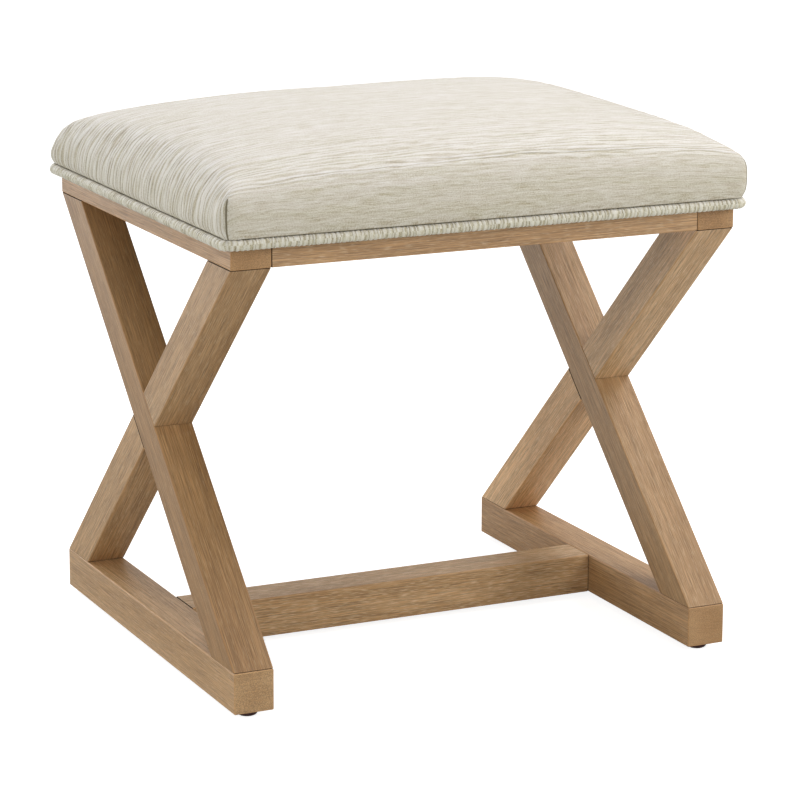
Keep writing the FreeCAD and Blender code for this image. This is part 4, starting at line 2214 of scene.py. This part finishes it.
@dataclass(frozen=True)
class Studio:
    """Pale floor, soft light and the photograph's viewpoint."""

    camera_place: Triple = (-1.2575, -2.6916, 0.9426)
    yaw: float = 25.271
    pitch: float = 12.230
    roll: float = 0.176
    lens: float = 142.955
    shift_up: float = -0.10
    farthest: float = 50
    sky: float = 0.42
    sky_colour: Colour = (1.0, 0.99, 0.97, 1)
    seen_colour: Colour = (1, 1, 1, 1)
    floor_size: float = 12
    floor_colour: Colour = (0.62, 0.62, 0.61, 1)
    floor_glow: float = 0.87

    def camera(self) -> None:
        """Set the camera at the photograph's viewpoint."""
        data = bpy.data.cameras.new("viewpoint")
        data.lens = self.lens
        data.sensor_width = SENSOR_WIDTH
        data.shift_y = self.shift_up
        data.clip_end = self.farthest
        camera = bpy.data.objects.new("viewpoint", data)
        bpy.context.scene.collection.objects.link(camera)
        turn = (
            Matrix.Rotation(math.radians(-self.yaw), 4, "Z")
            @ Matrix.Rotation(math.radians(90 - self.pitch), 4, "X")
            @ Matrix.Rotation(math.radians(self.roll), 4, "Z")
        )
        camera.matrix_world = Matrix.Translation(self.camera_place) @ turn
        bpy.context.scene.camera = camera

    def backdrop(self) -> None:
        """A white world that the camera, gloss and glass see brighter than the stool does."""
        world = bpy.data.worlds.new("studio")
        world.use_nodes = True
        bpy.context.scene.world = world
        nodes, links = world.node_tree.nodes, world.node_tree.links
        nodes.clear()
        path = nodes.new("ShaderNodeLightPath")
        seen = nodes.new("ShaderNodeMath")
        seen.operation = "MAXIMUM"
        links.new(path.outputs["Is Camera Ray"], seen.inputs[0])
        links.new(path.outputs["Is Glossy Ray"], seen.inputs[1])
        either = nodes.new("ShaderNodeMath")
        either.operation = "MAXIMUM"
        links.new(seen.outputs[0], either.inputs[0])
        links.new(path.outputs["Is Transmission Ray"], either.inputs[1])
        lit = nodes.new("ShaderNodeBackground")
        lit.inputs["Strength"].default_value = self.sky
        lit.inputs["Color"].default_value = self.sky_colour
        shown = nodes.new("ShaderNodeBackground")
        shown.inputs["Strength"].default_value = 1.0
        shown.inputs["Color"].default_value = self.seen_colour
        mix = nodes.new("ShaderNodeMixShader")
        output = nodes.new("ShaderNodeOutputWorld")
        links.new(either.outputs[0], mix.inputs[0])
        links.new(lit.outputs[0], mix.inputs[1])
        links.new(shown.outputs[0], mix.inputs[2])
        links.new(mix.outputs[0], output.inputs["Surface"])

    def floor(self) -> None:
        """A wide pale floor that shows white and keeps the stool's shadow."""
        clear_selection()
        bpy.ops.mesh.primitive_plane_add(size=self.floor_size, location=(0, 0, 0))
        floor = named("studio_floor")
        material = bpy.data.materials.new("studio_floor")
        material.use_nodes = True
        nodes, links = material.node_tree.nodes, material.node_tree.links
        nodes.clear()
        path = nodes.new("ShaderNodeLightPath")
        diffuse = nodes.new("ShaderNodeBsdfDiffuse")
        diffuse.inputs["Color"].default_value = self.floor_colour
        glow = nodes.new("ShaderNodeEmission")
        glow.inputs["Strength"].default_value = self.floor_glow
        both = nodes.new("ShaderNodeAddShader")
        mix = nodes.new("ShaderNodeMixShader")
        links.new(diffuse.outputs[0], both.inputs[0])
        links.new(glow.outputs[0], both.inputs[1])
        links.new(path.outputs["Is Camera Ray"], mix.inputs[0])
        links.new(diffuse.outputs[0], mix.inputs[1])
        links.new(both.outputs[0], mix.inputs[2])
        output = nodes.new("ShaderNodeOutputMaterial")
        links.new(mix.outputs[0], output.inputs["Surface"])
        floor.data.materials.append(material)

    def build(self) -> None:
        """Set the stage."""
        self.camera()
        self.backdrop()
        self.floor()
        for lamp in LAMPS:
            lamp.hang()
        bpy.context.scene.view_settings.view_transform = "Standard"


def main() -> None:
    """Dress the stool, set its stage and log each piece's face count."""
    logging.basicConfig(level=logging.INFO, format="%(message)s")
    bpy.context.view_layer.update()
    Studio().build()
    joint = JOINT_LINE.material()
    for side, word in ((-1, "left"), (1, "right")):
        SideFrame(side, word).build(joint)
    CrossTies().build(joint)
    Seat().build()
    Fittings().build()


if __name__ == "__main__":
    main()
